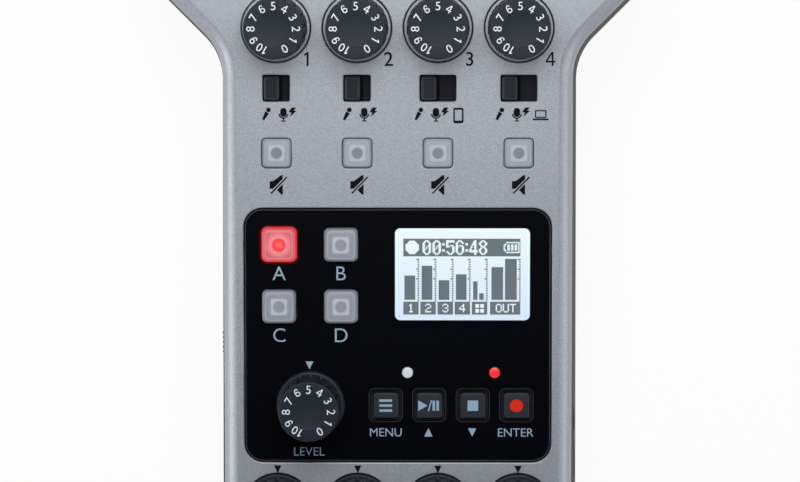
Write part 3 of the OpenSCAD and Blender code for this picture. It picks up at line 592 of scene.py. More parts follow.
panel_black = panel_satin(pad_places[0])
key_moats = square_holes(key_places, key_moat_w, key_moat_r)
panel_openings = square_holes(pad_places, pad_hole_w, pad_hole_r) + key_moats
panel_openings += [round_loop(p, lamp_r + lamp_gap, 32) for p in lamp_places]
window_seat = (window_w + 2 * window_gap, window_l + 2 * window_gap)
panel_openings += [square_loop(window_place, *window_seat, window_r)]
panel_openings += [round_loop(dial_place, well_r)]
panel_nets = [sheet([panel_outline(-panel_edge)] + [loop(opening_lip) for loop in panel_openings], panel_top)]
panel_nets.append(sheet([panel_outline()] + [loop() for loop in panel_openings], panel_bottom))
panel_nets.append(collar(panel_outline, -panel_edge, panel_top, panel_bottom))
panel_nets += [collar(loop, opening_lip, panel_top, panel_bottom) for loop in panel_openings]
fit(make_piece("panel", panel_nets, panel_black), "panel_black", "control_panel")

rim_out = -0.26
rim_in = -0.47
rim_cut = 0.06
rim_low = panel_top - 0.45
rim_edge = panel_top - 0.03
rim_top = panel_top + 0.03
key_rim_out = 0.2
key_rim_in = 0.04
key_rim_low = panel_top - 0.1
key_rim_top = panel_top + 0.02


def trim_net(loop, profile):
    """A closed profile carried round an outline: each point is how far out and how high its row lies."""
    return net([level(loop(out), w) for out, w in (*profile, profile[0])])


# The grey rim round the panel's edge is a painted highlight on its bevel.
rim_highlight_plastic = grained_plastic("rim_highlight_plastic", tone(46, 51, 60), tone(58, 63, 73), 0.4, 3000.0, 0.000004)
rim_rows = [(rim_out, rim_low), (rim_out, rim_edge), (rim_out - rim_cut, rim_top)]
rim_rows += [(rim_in + rim_cut, rim_top), (rim_in, rim_edge), (rim_in, rim_low)]
fit(make_piece("panel_rim", [trim_net(panel_outline, rim_rows)], rim_highlight_plastic), "panel_black")
# The grey rims round the key openings are a painted highlight on their edges.
key_rim_plastic = grained_plastic("key_rim_plastic", tone(20, 22, 27), tone(28, 31, 37), 0.4, 3000.0,
                                  0.000004)
key_rim_rows = [(key_rim_out, key_rim_low), (key_rim_out, key_rim_top)]
key_rim_rows += [(key_rim_in, key_rim_top), (key_rim_in, key_rim_low)]
key_rim_nets = [trim_net(moat, key_rim_rows) for moat in key_moats]
fit(make_piece("key_rims", key_rim_nets, key_rim_plastic), "panel_black")

# Knobs: moulded in dark plastic, with a notched grip that tapers to a flat top and a shallow dish.
# Each is pushed onto the flat of its shaft. The gain knobs carry a ring of silver paint on their skirts.
# Black rings in the gaps round the knobs and the keys are painted shade over the silver paint the gaps would
# show.
knob_base_r = 6.95
knob_top_r = 6.78
knob_h = 11.165
knob_foot = -0.85
knob_edge_r = 0.3
skirt_r = 7.6
skirt_top = 0.3
skirt_edge = 0.15
skirt_fillet = 0.2
dish_r = 3.9
dish_depth = 0.3
notch_count = 17
notch_depth = 0.5
shade_ring_gap = 0.06
shade_ring_low = -1.15
shade_ring_top = -0.06
shade_ring_out = well_r - 0.02
key_hole_shade_profile = ((0.8, -1.19), (0.8, -1.16), (0.01, -1.16), (0.01, -1.19))
knob_plastic = grained_plastic("knob_plastic", tone(25, 31, 40), tone(32, 39, 49), 0.5, 5000.0, 0.000006, 0.2)


def knob_net(place):
    """A turned profile whose grip is pushed in at even notches: radius = profile - depth * notch(angle)."""
    edge = np.radians(np.linspace(0, 90, 5))
    edge_in = knob_edge_r * (1 - np.cos(edge))
    edge_down = knob_edge_r * (1 - np.sin(edge))
    grip_top = knob_h - knob_edge_r
    dish_share = np.array([0.97, 0.85, 0.65, 0.4, 0.15, 0.0])
    radius, height = np.concatenate([
        [(0.0, knob_foot), (skirt_r, knob_foot), (skirt_r, skirt_top - skirt_edge)],
        [(skirt_r - skirt_edge, skirt_top), (knob_base_r + skirt_fillet, skirt_top)],
        [(knob_base_r, skirt_top + skirt_fillet)],
        [(knob_top_r + 0.03, grip_top - 0.5), (knob_top_r, grip_top - 0.1)],
        np.column_stack([knob_top_r - edge_in, knob_h - edge_down]),
        [(dish_r + 0.12, knob_h), (dish_r + 0.03, knob_h - 0.02)],
        np.column_stack([dish_r * dish_share, knob_h - dish_depth * (1 - dish_share ** 2) - 0.04]),
    ]).T
    grip = [skirt_top, skirt_top + skirt_fillet, knob_h - 0.5, knob_h - 0.2]
    notched = np.interp(height, grip, [0, 1, 1, 0])
    notched[radius < dish_r + 1] = 0
    share = np.array([-0.15, -0.125, -0.11, 0.0, 0.11, 0.125, 0.15, 0.27, 0.39, 0.5, 0.61, 0.73])
    sunk = np.array([0.0, 0.15, 1.0, 1.0, 1.0, 0.15, 0.0, 0, 0, 0, 0, 0])
    angle = ((np.arange(notch_count)[:, None] + share) * 2 * math.pi / notch_count).ravel() + math.pi / 2
    cut = np.tile(sunk, notch_count)
    r = radius[:, None] - notch_depth * notched[:, None] * cut
    z = np.broadcast_to(height[:, None], r.shape)
    return net(np.stack([place[0] + r * np.cos(angle), place[1] + r * np.sin(angle), z], axis=-1))


def ring_net(place, inner, outer, low, high, cut=0.03):
    """A flat ring with softened edges: a square profile with cut corners carried round a circle."""
    profile = [(inner, low), (outer, low), (outer, high - cut), (outer - cut, high)]
    return trim_net(round_loop(place, 0.0), profile + [(inner + cut, high), (inner, high - cut)])


dials = [(f"gain_{i}", f"gain_%s_{i}", p) for i, p in enumerate(gain_places, 1)]
dials += [(f"phones_{i}", f"phones_%s_{i}", p) for i, p in enumerate(phones_places, 1)]
dials.append(("pad_level", "pad_level_%s", dial_place))
for body, name, p in dials:
    fit(make_piece(name % "dial", [knob_net(p)], knob_plastic, body, crease=50), "knob", name % "knob")
ring_paint = grained_plastic("ring_paint", tone(140, 144, 150), tone(194, 198, 204), 0.5, 2600.0, 0.000006,
                             0.08)
for i, p in enumerate(gain_places, 1):
    skirt_ring = ring_net(p, knob_base_r - 0.1, skirt_r - 0.02, skirt_top - 0.1, skirt_top + 0.05)
    fit(make_piece(f"gain_ring_{i}", [skirt_ring], ring_paint, f"gain_{i}"), "silver_shell")
# Black rings in the gaps round the knobs, and over the recess round the key holes, are painted shade.
shade_ring_black = grained_plastic("shade_ring_black", tone(6, 6, 8), tone(11, 11, 13), 0.6, 3000.0, 0.000004, 0.2)
shade_ring_in = skirt_r + shade_ring_gap
shade_ring_nets = [ring_net(p, shade_ring_in, shade_ring_out, shade_ring_low, shade_ring_top) for p in gain_places + phones_places]
shade_ring_nets.append(ring_net(dial_place, shade_ring_in, shade_ring_out, shade_ring_low, panel_top - 0.1))
shade_ring_nets += [trim_net(hole, key_hole_shade_profile) for hole in square_holes(key_places, key_hole_w, key_hole_r)]
fit(make_piece("well_shade_rings", shade_ring_nets, shade_ring_black), "panel_black")

# Dial numerals: white figures printed round each knob's top, 0 to 10 over 300 degrees with 5 at the
# index mark, and their tops outward.
numeral_r = 5.06
numeral_h = 1.85
numeral_step = 30.0
figure_pitch = 0.68
ink_t = 0.03
ink_sink = 0.005


def turned(points, turn):
    """Flat points turned about the origin, counter clockwise."""
    c, s = math.cos(turn), math.sin(turn)
    return np.asarray(points, float) @ np.array([[c, s], [-s, c]])


def lettering(words, height, place, low, turn=0.0, bold=0.0):
    """A line of letters as a thin solid: scaled to its height, centred on its box, turned and set down."""
    curve = bpy.data.curves.new("lettering", "FONT")
    curve.body = words
    curve.extrude = 0.5
    curve.offset = bold
    holder = bpy.data.objects.new("lettering", curve)
    bpy.context.scene.collection.objects.link(holder)
    bpy.context.view_layer.update()
    mesh = bpy.data.meshes.new_from_object(holder.evaluated_get(bpy.context.evaluated_depsgraph_get()))
    points = np.zeros(len(mesh.vertices) * 3)
    mesh.vertices.foreach_get("co", points)
    points = points.reshape(-1, 3)
    mesh.calc_loop_triangles()
    faces = np.zeros(len(mesh.loop_triangles) * 3, int)
    mesh.loop_triangles.foreach_get("vertices", faces)
    bpy.data.objects.remove(holder)
    bpy.data.meshes.remove(mesh)
    least, most = points.min(axis=0), points.max(axis=0)
    flat = (points[:, :2] - (least[:2] + most[:2]) / 2) * height / (most[1] - least[1])
    lift = low + ink_t * (points[:, 2] - least[2]) / (most[2] - least[2])
    return [(np.column_stack([turned(flat, turn) + place, lift]), faces.reshape(-1, 3))]


def outline(points):
    """A flat figure given by its corners."""
    return np.asarray(points, float)


def ink_net(loops, place, low):
    """Printed figures: each loop moved to its place and given the thickness of a film of ink."""
    return [part for loop in loops for part in slab([loop + place], low, low + ink_t)]


one_edge = [(0.08, -0.5), (0.08, 0.5), (-0.03, 0.5), (-0.24, 0.33)]
one_edge += [(-0.24, 0.2), (-0.06, 0.31), (-0.06, -0.5)]
four_edge = [(0.2, 0.5), (0.05, 0.5), (-0.35, -0.12), (-0.35, -0.25), (0.07, -0.25), (0.07, -0.5)]
four_edge += [(0.2, -0.5), (0.2, -0.25), (0.34, -0.25), (0.34, -0.13), (0.2, -0.13)]
four_hole = outline([(0.07, 0.32), (0.07, -0.13), (-0.22, -0.13)])
six_bowl = [round_loop((0, -0.19), r, 32)() for r in (0.31, 0.18)]
six_stem = [arc((0, 0), 1.0, 40, 190) * (0.31, 0.5), arc((0, 0), 1.0, 190, 40) * (0.18, 0.38)]
figure_forms = {"1": [[outline(one_edge)]], "4": [[outline(four_edge), four_hole]]}
figure_forms["6"] = [six_bowl, [np.concatenate(six_stem)]]
figure_forms["9"] = [[-loop for loop in loops] for loops in figure_forms["6"]]


def number_net(number, height, place, low, turn=0.0, bold=0.0):
    """A number in ink, its figures side by side: drawn where there is a form, and else from the font."""
    step = figure_pitch * height
    nets = []
    for i, sign in enumerate(number):
        spot = place + turned((step * (i - (len(number) - 1) / 2), 0), turn)
        if sign in figure_forms:
            for loops in figure_forms[sign]:
                nets += slab([turned(loop * height, turn) + spot for loop in loops], low, low + ink_t)
        else:
            nets += lettering(sign, height, spot, low, turn, bold)
    return nets


def printed_ink(name, dark, light):
    """Screen printed ink: even in colour but for a fine mottle, and dry to the touch."""
    material, coords, feed = new_finish(name, specular_ior_level=0.05)
    mottle = noise(coords, 4000.0)
    feed("Base Color", mottle.mix(dark, light))
    feed("Roughness", 0.5 + 0.2 * mottle)
    return material


numeral_ink = printed_ink("numeral_ink", tone(212, 219, 230), tone(236, 242, 250))
for body, _, p in dials:
    figures = []
    for n in range(11):
        turn = math.radians((n - 5) * numeral_step)
        spot = p + numeral_r * np.array([-math.sin(turn), math.cos(turn)])
        figures += number_net(str(n), numeral_h, spot, knob_h - ink_sink, turn)
    fit(make_piece(f"{body}_numerals", figures, numeral_ink, body), "button_frost")

# Push caps: frosted mute buttons, glowing sound pads and dark transport keys. Each is a moulded cap
# that comes up through the deck from a flange below it, over its own switch on the control board.
flange_top = -2.4
flange_low = -3.2
flange_out = 1.0


def cap_net(place, width, corner, top, edge, crown):
    """Rounded squares from the flange up the wall, round a quarter circle and in over a crowned top."""
    place = np.asarray(place, float)
    loop = square_loop(place, width, width, corner)
    brim, rim = loop(flange_out) - place, loop(-edge) - place
    rows = [level(place + brim * s, flange_low) for s in (0.0, 1.0)]
    rows += [level(loop(flange_out), flange_top), level(loop(), flange_top)]
    turn = np.radians(np.linspace(0, 90, 6))
    rows += [level(loop(edge * (math.cos(a) - 1)), top - crown - edge * (1 - math.sin(a))) for a in turn]
    rows += [level(place + rim * s, top - crown * s ** 2) for s in (0.9, 0.7, 0.45, 0.2, 0.0)]
    return net(rows)


def own_uv(piece, middle):
    """A UV map in millimetres from the piece's own middle, across and up the deck."""
    mesh = piece.data
    points = np.zeros(len(mesh.vertices) * 3)
    mesh.vertices.foreach_get("co", points)
    x, y, z = points.reshape(-1, 3).T / MM
    up = y * math.cos(deck_tilt) + (z - deck_z) * math.sin(deck_tilt)
    corner = np.zeros(len(mesh.loops), int)
    mesh.loops.foreach_get("vertex_index", corner)
    layer = mesh.uv_layers.new(name="across")
    layer.data.foreach_set("uv", np.column_stack([x - middle[0], up - middle[1]])[corner].ravel())
    return piece


def across_deck(coords):
    """The two values of that UV map, as sockets."""
    across = coords.node("ShaderNodeUVMap", {"uv_map": "across"})
    return across.part(0), across.part(1)


def cap_field(coords, half):
    """From a cap's middle: how far out on rounded squares, a sum of eighth powers, how far out on circles,
    and a line just inside the edge of its face, where a highlight is painted."""
    u, v = across_deck(coords)
    square = (abs(u) ** 8.0 + abs(v) ** 8.0) ** 0.125
    line = (1 - square.between(half - 0.75, half - 0.6)) * square.between(half - 1.0, half - 0.85)
    return square, u.diagonal(v), line


def frosted_cap(name, half, wall, face, light, dot, dot_r):
    """A translucent cap: painted shade on its wall, a painted highlight as a pale line round its face, a
    paler square, its unlit lamp.
    """
    material, coords, feed = new_finish(name, specular_ior_level=0.35)
    square, away, line = cap_field(coords, half)
    cloud = noise(coords, 900.0)
    # The darker wall colour is painted shade.
    shade = square.between(half - 0.75, half - 0.2).mix((0.8 + 0.2 * cloud).mix(tone(0, 0, 0), face), wall)
    # The pale line round the face is a painted highlight.
    shade = (0.4 * line).mix(shade, light)
    shade = (1 - square.between(1.65, 2.1)).mix(shade, light)
    feed("Base Color", (1 - away.between(dot_r - 0.35, dot_r + 0.1)).mix(shade, dot))
    feed("Roughness", 0.32 + 0.12 * cloud)
    return material


def glowing_cap(name, half, dot_r):
    """A cap lit from below: red at the lamp, a pale haze round it and a stronger red towards its wall."""
    material, coords, feed = new_finish(name, specular_ior_level=0.35, emission_strength=1.0)
    square, away, line = cap_field(coords, half)
    cloud = noise(coords, 900.0)
    haze = away.between(1.4, 3.6).mix(tone(226, 140, 146), tone(196, 84, 90))
    # The pale line round the face is a painted highlight, mixed into the glow.
    haze = (0.45 * line).mix(haze, tone(232, 150, 154))
    haze = square.between(half - 0.5, half).mix(haze, tone(205, 52, 58))
    dot = away.between(0.1, 1.2).mix(tone(255, 104, 72), tone(252, 36, 54))
    feed("Base Color", cloud.mix(tone(84, 40, 42), tone(96, 48, 50)))
    feed("Emission Color", (1 - away.between(dot_r - 0.4, dot_r + 0.1)).mix(haze, dot))
    feed("Roughness", 0.32 + 0.12 * cloud)
    return material


mute_w = 6.6
pad_w = 7.7
key_w = 5.78
frost = frosted_cap("frost", mute_w / 2, tone(138, 144, 154), tone(161, 168, 178), tone(176, 185, 196),
                    tone(127, 131, 139), 1.4)
for i, p in enumerate(mute_places, 1):
    cap_nets = [cap_net(p, mute_w, corner=0.9, top=-0.15, edge=0.35, crown=0.06)]
    cap = own_uv(make_piece(f"mute_cap_{i}", cap_nets, frost, f"mute_button_{i}"), p)
    fit(cap, "button_frost", f"mute_button_{i}")

pad_red = glowing_cap("pad_red", pad_w / 2, 1.75)
pad_grey = frosted_cap("pad_grey", pad_w / 2, tone(114, 119, 128), tone(154, 159, 168), tone(184, 192, 201),
                       tone(149, 149, 156), 1.45)
for letter, p in zip("abcd", pad_places):
    finish = pad_red if letter == "a" else pad_grey
    cap_nets = [cap_net(p, pad_w, corner=1.2, top=1.4, edge=0.7, crown=0.1)]
    cap = own_uv(make_piece(f"pad_cap_{letter}", cap_nets, finish, f"pad_button_{letter}"), p)
    fit(cap, "pad_red" if letter == "a" else "pad_grey", f"pad_button_{letter}")

key_plastic = grained_plastic("key_plastic", tone(30, 35, 43), tone(40, 45, 54), 0.45, 4000.0, 0.000005, 0.25)
key_names = ("menu", "play", "stop", "record")
for key, p in zip(key_names, key_places):
    cap_nets = [cap_net(p, key_w, corner=0.9, top=0.68, edge=0.3, crown=0.05)]
    fit(make_piece(f"{key}_cap", cap_nets, key_plastic, f"{key}_button"), "key_dark", f"{key}_button")

# Key signs: figures printed on the tops of the transport keys, in pale ink and for recording in red.
# They are a film of ink, so they move with their caps.
sign_w = 0.655


def box_loop(x0, y0, x1, y1):
    """A plain rectangle between two corners."""
    return outline([(x1, y1), (x0, y1), (x0, y0), (x1, y0)])


def stroke(a, b, wide, narrow=None):
    """A straight stroke between two points that may taper: four corners to the sides of its ends."""
    a, b = np.asarray(a, float), np.asarray(b, float)
    side = np.array([a[1] - b[1], b[0] - a[0]]) / np.hypot(*(b - a)) / 2
    narrow = wide if narrow is None else narrow
    return outline([a + side * wide, b + side * narrow, b - side * narrow, a - side * wide])


pale_ink = printed_ink("pale_ink", tone(142, 168, 189), tone(158, 183, 204))
red_ink = printed_ink("red_ink", tone(212, 38, 22), tone(236, 52, 30))
bars = [box_loop(-1.45, y - 0.275, 1.45, y + 0.275) for y in (-1.15, 0.0, 1.15)]
play_sign = [outline([(-2.5, 1.2), (-2.5, -1.2), (-0.4, 0.0)]), stroke((-0.2, -1.25), (0.5, 1.25), 0.3)]
play_sign += [box_loop(x, -1.15, x + 0.6, 1.15) for x in (0.72, 1.62)]
key_signs = (bars, play_sign, [box_loop(-1.2, -1.2, 1.2, 1.2)], [round_loop((0, 0), 1.465, 48)()])
for key, p, loops in zip(key_names, key_places, key_signs):
    ink = red_ink if key == "record" else pale_ink
    sign = make_piece(f"{key}_sign", ink_net(loops, p, sign_w), ink, f"{key}_button")
    fit(sign, "pad_red" if key == "record" else "button_frost")

# Select levers: small moulded slides with bevelled tops, one in each window of the deck. A thin dark
# shutter goes along with each lever and closes the window over the switch below.
lever_w = 3.4
lever_l = 5.3
lever_top = 1.0
lever_travel = (2.1, 2.1, 4.2, 4.2)
shutter_low = -2.36
shutter_high = -2.26
lever_bevel = 0.42
lever_corner = 0.5
shutter_margin = 0.3
shutter_corner = 0.4


def lever_finish(name):
    """A moulded slide: dark on its flat top, and paler on the bevel round it as a painted highlight."""
    material, coords, feed = new_finish(name, specular_ior_level=0.1)
    u, v = across_deck(coords)
    beyond = (abs(u) - (lever_w / 2 - lever_bevel)).most(abs(v) - (lever_l / 2 - lever_bevel))
    # The paler bevel is a painted highlight.
    bevel_highlight = beyond.between(-0.15, 0.1)
    grain = noise(coords, 4000.0)
    feed("Base Color", bevel_highlight.mix(grain.mix(tone(28, 32, 39), tone(36, 40, 48)), tone(56, 60, 68)))
    feed("Roughness", 0.4 + 0.1 * grain)
    return material


def shutter_finish(name):
    """A thin dark slide, black close to its lever, where little light comes."""
    material, coords, feed = new_finish(name, specular_ior_level=0.08)
    clear = (abs(across_deck(coords)[0]) - lever_w / 2).between(0.5, 1.0)
    grain = noise(coords, 3000.0)
    feed("Base Color", clear.mix(tone(2, 2, 3), grain.mix(tone(24, 25, 32), tone(31, 32, 40))))
    feed("Roughness", 0.55 + 0.1 * grain)
    return material


lever_plastic = lever_finish("lever_plastic")
shutter_plastic = shutter_finish("shutter_plastic")


def lever_net(place):
    """A block with rounded corners: a straight wall, a slanted bevel and a flat top, closed below."""
    loop = square_loop(place, lever_w, lever_l, lever_corner)
    rim = loop(-lever_bevel) - place
    rows = [level(place + (loop() - place) * s, shutter_high) for s in (0.0, 1.0)]
    rows += [level(loop(), lever_top - 0.5), level(loop(-0.06), lever_top - 0.4)]
    rows += [level(loop(0.04 - lever_bevel), lever_top - 0.05), level(loop(-lever_bevel), lever_top)]
    rows += [level(place + rim * s, lever_top) for s in (0.5, 0.0)]
    return net(rows)


for i, (x, travel, window) in enumerate(zip(channel_x, lever_travel, select_window_w), 1):
    p = np.array([x - travel / 2, select_y])
    lever = make_piece(f"select_slide_{i}", [lever_net(p)], lever_plastic, f"select_lever_{i}", crease=20)
    fit(own_uv(lever, p), "lever_dark", f"select_lever_{i}")
    shutter_size = (window + travel + 2 * shutter_margin, select_window_l + 2 * shutter_margin)
    shutter_nets = slab([square_loop(p, *shutter_size, shutter_corner)()], shutter_low, shutter_high)
    shutter = make_piece(f"select_shutter_{i}", shutter_nets, shutter_plastic, f"select_lever_{i}")
    fit(own_uv(shutter, p), "lever_dark")

# Lamps: two small clear lenses over the transport keys, a white one and a red one. Each is the domed
# end of a light pipe that comes up through the panel from the control board.
lamp_low = -2.4
lamp_top = -0.1
lamp_dome = 0.15


def lens_net(place):
    """A short round post with a domed end: height falls with the square of the radius."""
    share = np.array([0.0, 1.0, 1.0, 0.95, 0.8, 0.6, 0.35, 0.12, 0.0])
    height = np.array([lamp_low, lamp_low] + [lamp_top - lamp_dome * s ** 2 for s in share[2:]])
    return net([level(round_loop(place, lamp_r * s, 32)() if s else np.tile(place, (32, 1)), w)
                for s, w in zip(share, height)])


def lens_finish(name, body, rim, core):
    """A clear lens lit from below: even over its lamp, falling off a little at its rim."""
    material, coords, feed = new_finish(name, emission_strength=1.0, coat_weight=0.1)
    u, v = across_deck(coords)
    away = u.diagonal(v)
    cloud = noise(coords, 3000.0)
    feed("Base Color", cloud.mix(tone(0, 0, 0), body))
    feed("Emission Color", away.between(0.95, 1.25).mix(core, rim))
    feed("Roughness", 0.25 + 0.1 * cloud)
    return material


play_lens = lens_finish("play_lens", tone(50, 52, 54), tone(160, 168, 176), tone(194, 204, 213))
record_lens = lens_finish("record_lens", tone(60, 8, 10), tone(205, 22, 28), tone(255, 42, 46))
for name, p, finish in zip(("play_lamp", "record_lamp"), lamp_places, (play_lens, record_lens)):
    fit(own_uv(make_piece(name, [lens_net(p)], finish), p), "lamp", "lamps")

# Display: a white backlit liquid crystal panel under a clear window, whose rim is printed white to
# match. The picture is a clock, a battery sign, level bars and boxes with plain numbers, all in dots.
dot_w = 0.2766
dot_l = 0.2802
picture_x = 1.264
picture_y = 1.016
picture_low = -1.295
picture_mid = -1.265
module_half = (14.4, 9.55)


def backlight(coords):
    """White light through the display, cooler and a little weaker towards its front edge."""
    down = (window_place[1] + window_l / 2 - coords.part(1) * (1 / MM)) * (1 / window_l)
    return (0.9 * down + 0.1 * noise(coords, 60.0)).mix(tone(240, 254, 255), tone(216, 233, 254))


def lit_face(name):
    """The face of the display, dark itself and lit evenly from behind."""
    material, coords, feed = new_finish(name, emission_strength=1.0, roughness=0.4)
    feed("Base Color", noise(coords, 40.0).mix(tone(20, 22, 24), tone(28, 30, 32)))
    feed("Emission Color", backlight(coords))
    return material


def masked_glass(name):
    """A clear window with a printed rim: the print begins where the larger of two distances passes 0."""
    material, coords, feed = new_finish(name, roughness=0.08, emission_strength=1.0)
    across = abs(coords.part(0) * (1 / MM) - window_place[0]) - module_half[0]
    along = abs(coords.part(1) * (1 / MM) - window_place[1]) - module_half[1]
    mask = across.most(along).between(0.0, 0.05)
    feed("Base Color", noise(coords, 2000.0).mix(tone(8, 9, 11), tone(12, 13, 16)))
    feed("Emission Color", mask.mix(tone(0, 0, 0), backlight(coords)))
    feed("Alpha", 0.03 + 0.97 * mask)
    return material


def dress(finish, *nodes):
    """Gives parts of the frame a finish and leaves their shape as it is."""
    for node in nodes:
        mesh = frame["nodes"][node].data
        mesh.materials.clear()
        mesh.materials.append(finish)


dress(lit_face("display_face"), "display_module")
dress(masked_glass("window_glass"), "display_window")


def dots(c0, r0, c1, r1):
    """A rectangle of display dots between two columns and two rows, counted from the top left."""
    x0, x1 = picture_x + c0 * dot_w, picture_x + c1 * dot_w
    return box_loop(x0, picture_y - r1 * dot_l, x1, picture_y - r0 * dot_l)


def dot_sign(rows, column, row):
    """A figure of the display, with spaces between its rows: a box for each unbroken run of dots."""
    boxes = []
    for r, line in enumerate(rows.split()):
        ends = np.flatnonzero(np.diff([0] + [int(dot == "#") for dot in line] + [0])).reshape(-1, 2)
        boxes += [dots(column + a, row + r + 0.01, column + b, row + r + 0.99) for a, b in ends]
    return boxes


def crystal(name, dark, light):
    """Switched dots of the display: dark themselves, and lit evenly from behind."""
    material, coords, feed = new_finish(name, emission_strength=1.0, roughness=0.5)
    mottle = noise(coords, 800.0)
    feed("Base Color", mottle.mix(tone(16, 17, 19), tone(22, 24, 26)))
    feed("Emission Color", mottle.mix(dark, light))
    return material


clock_figures = {
    "0": "..###.. .##.##. ##...## ##...## ##..### ##.#.## ##.#.## ###..## ##...## ##...## .##.##. ..###..",
    "4": "....##. ...###. ...###. ..####. ..#.##. .##.##. .#..##. ##..##. ####### ####### ....##. ....##.",
    "5": "####### ####### ##..... ##..... ##.###. ###..## .....## .....## .....## ##...## .##.##. ..###..",
    "6": "..###.. .##.##. ##...## ##..... ##.###. ###..## ##...## ##...## ##...## ##...## .##.##. ..###..",
    "8": "..###.. .##.##. ##...## ##...## .##.##. ..###.. .##.##. ##...## ##...## ##...## .##.##. ..###..",
}
label_figures = {
    "1": "..#.. .##.. ..#.. ..#.. ..#.. ..#.. .###.",
    "2": ".###. #...# ....# ..##. .#... #.... #####",
    "3": ".###. #...# ....# ..##. ....# #...# .###.",
    "4": "...#. ..##. .#.#. #..#. ##### ...#. ...#.",
    "O": ".###. #...# #...# #...# #...# #...# .###.",
    "U": "#...# #...# #...# #...# #...# #...# .###.",
    "T": "##### ..#.. ..#.. ..#.. ..#.. ..#.. ..#..",
}
disc_sign = "...#####... ..#######.. .#########. ########### ########### ###########"
disc_sign += " ########### ########### .#########. ..#######.. ...#####..."
battery_sign = "..########### .#..........# ##.##.##.##.# #..##.##.##.# #..##.##.##.#"
battery_sign += " #..##.##.##.# ##.##.##.##.# .#..........# ..###########"

dark_dots = crystal("dark_dots", tone(93, 105, 114), tone(99, 111, 120))
pale_dots = crystal("pale_dots", tone(232, 248, 254), tone(240, 253, 255))
bar_foot = 49.8
label_span = (51.3, 61.8)
level_bars = ((0.9, 30, 9.8), (15, 22, 23.8), (29, 33.8, 37.8), (43.1, 29, 51.9))
level_bars += ((57.3, 34.7, 60.9), (62.3, 44.4, 66), (72.3, 23.1, 81.9), (83.4, 16.4, 93.1))
label_columns = ((0, 12.6), (14, 26.7), (28.1, 40.8), (42.2, 54.8), (56.3, 68.9), (71.2, 96))
dark_boxes = [(0, 0, 96, 14.4)]
dark_boxes += [(left, top, right, bar_foot) for left, top, right in level_bars]
dark_boxes += [(left, label_span[0], right, label_span[1]) for left, right in label_columns]
scale_columns = (12.4, 26.4, 40.5, 54.5, 68.5, 95.6)
dark_boxes += [(c - 0.7, r, c + 0.7, r + 1.2) for c in scale_columns for r in np.arange(16.4, 51, 1.96)]
dark_boxes += [(c - 1.7, r, c - 0.75, r + 1.2) for c in scale_columns for r in (16.4, 24.24, 32.08)]
picture_nets = ink_net([dots(*box) for box in dark_boxes], (0, 0), picture_low)
fit(make_piece("display_picture", picture_nets, dark_dots), "display")

pale_loops = dot_sign(disc_sign, 1.8, 1.6) + dot_sign(battery_sign, 82.3, 2.7)
for figure, column in zip("005648", (15.8, 23.9, 35.1, 42.9, 54.0, 61.9)):
    pale_loops += dot_sign(clock_figures[figure], column, 1.2)
pale_loops += [dots(c - 1, r, c + 1, r + 2) for c in (32.95, 52.0) for r in (3.6, 8.6)]
for label, column in zip("1234OUT", (3.8, 17.9, 32.0, 46.0, 75.9, 81.7, 87.5)):
    pale_loops += dot_sign(label_figures[label], column, 53.0)
pale_loops += [dots(c, r, c + 3, r + 3) for c in (59.2, 63.2) for r in (53.2, 57.2)]
fit(make_piece("display_figures", ink_net(pale_loops, (0, 0), picture_mid), pale_dots), "display")

# Deck printing: dark figures screen printed on the silver deck. Channel numbers stand beside the gain
# knobs, signs of what a channel can take under its lever, and a crossed out speaker under its mute button.
deck_ink = printed_ink("deck_ink", tone(9, 13, 19), tone(15, 20, 27))
print_w = -ink_sink
number_h = 3.16
number_place = (7.1, 41.75)
sign_shift = (0.0, 0.0, -2.1, -2.1)
mic_head = np.array([-1.75, 30.27])
mic_tail = np.array([-2.96, 28.02])
mic_head_r = 0.52
mic_gap = 0.62
handle_ends = (0.98, 0.5)
capsule_place = (1.63, 29.71)
capsule_size = (1.45, 2.05, 0.7)
cradle_place = (1.63, 29.39)
cradle_r = 0.96
cradle_t = 0.3
phone_frame = ((4.6, 29.02), 2.3, 3.5, 0.4)
phone_screen = ((4.6, 29.09), 1.6, 2.45, 0.05)
laptop_frame = ((4.9, 29.35), 2.6, 1.8, 0.25)
laptop_screen = ((4.9, 29.35), 2.06, 1.26, 0.05)
laptop_base = ((4.9, 28.15), 3.6, 0.4, 0.15)
speaker_y = 13.31
mark_w = 1.56
mark_h = 1.58
phones_mark_y = -51.7
phones_mark_size = (1.06, 1.14)
gain_mark_y = 58.2


def hand_mic():
    """Sign of a hand held microphone: a round head and a tapered handle."""
    along = (mic_tail - mic_head) / np.hypot(*(mic_tail - mic_head))
    handle = stroke(mic_head + mic_gap * along, mic_tail, *handle_ends)
    return [round_loop(mic_head, mic_head_r, 24)(), handle]


def studio_mic():
    """Sign of a microphone on a stand: a long capsule, a half ring round it, a stem and a base."""
    x, y = cradle_place
    outer = arc(cradle_place, cradle_r + cradle_t / 2, 180, 360, 20)
    inner = arc(cradle_place, cradle_r - cradle_t / 2, 360, 180, 20)
    stem = box_loop(x - 0.15, y - 1.52, x + 0.15, y - cradle_r - 0.1)
    base = box_loop(x - 0.52, y - 1.74, x + 0.52, y - 1.5)
    return [square_loop(capsule_place, *capsule_size)(), np.concatenate([outer, inner]), stem, base]


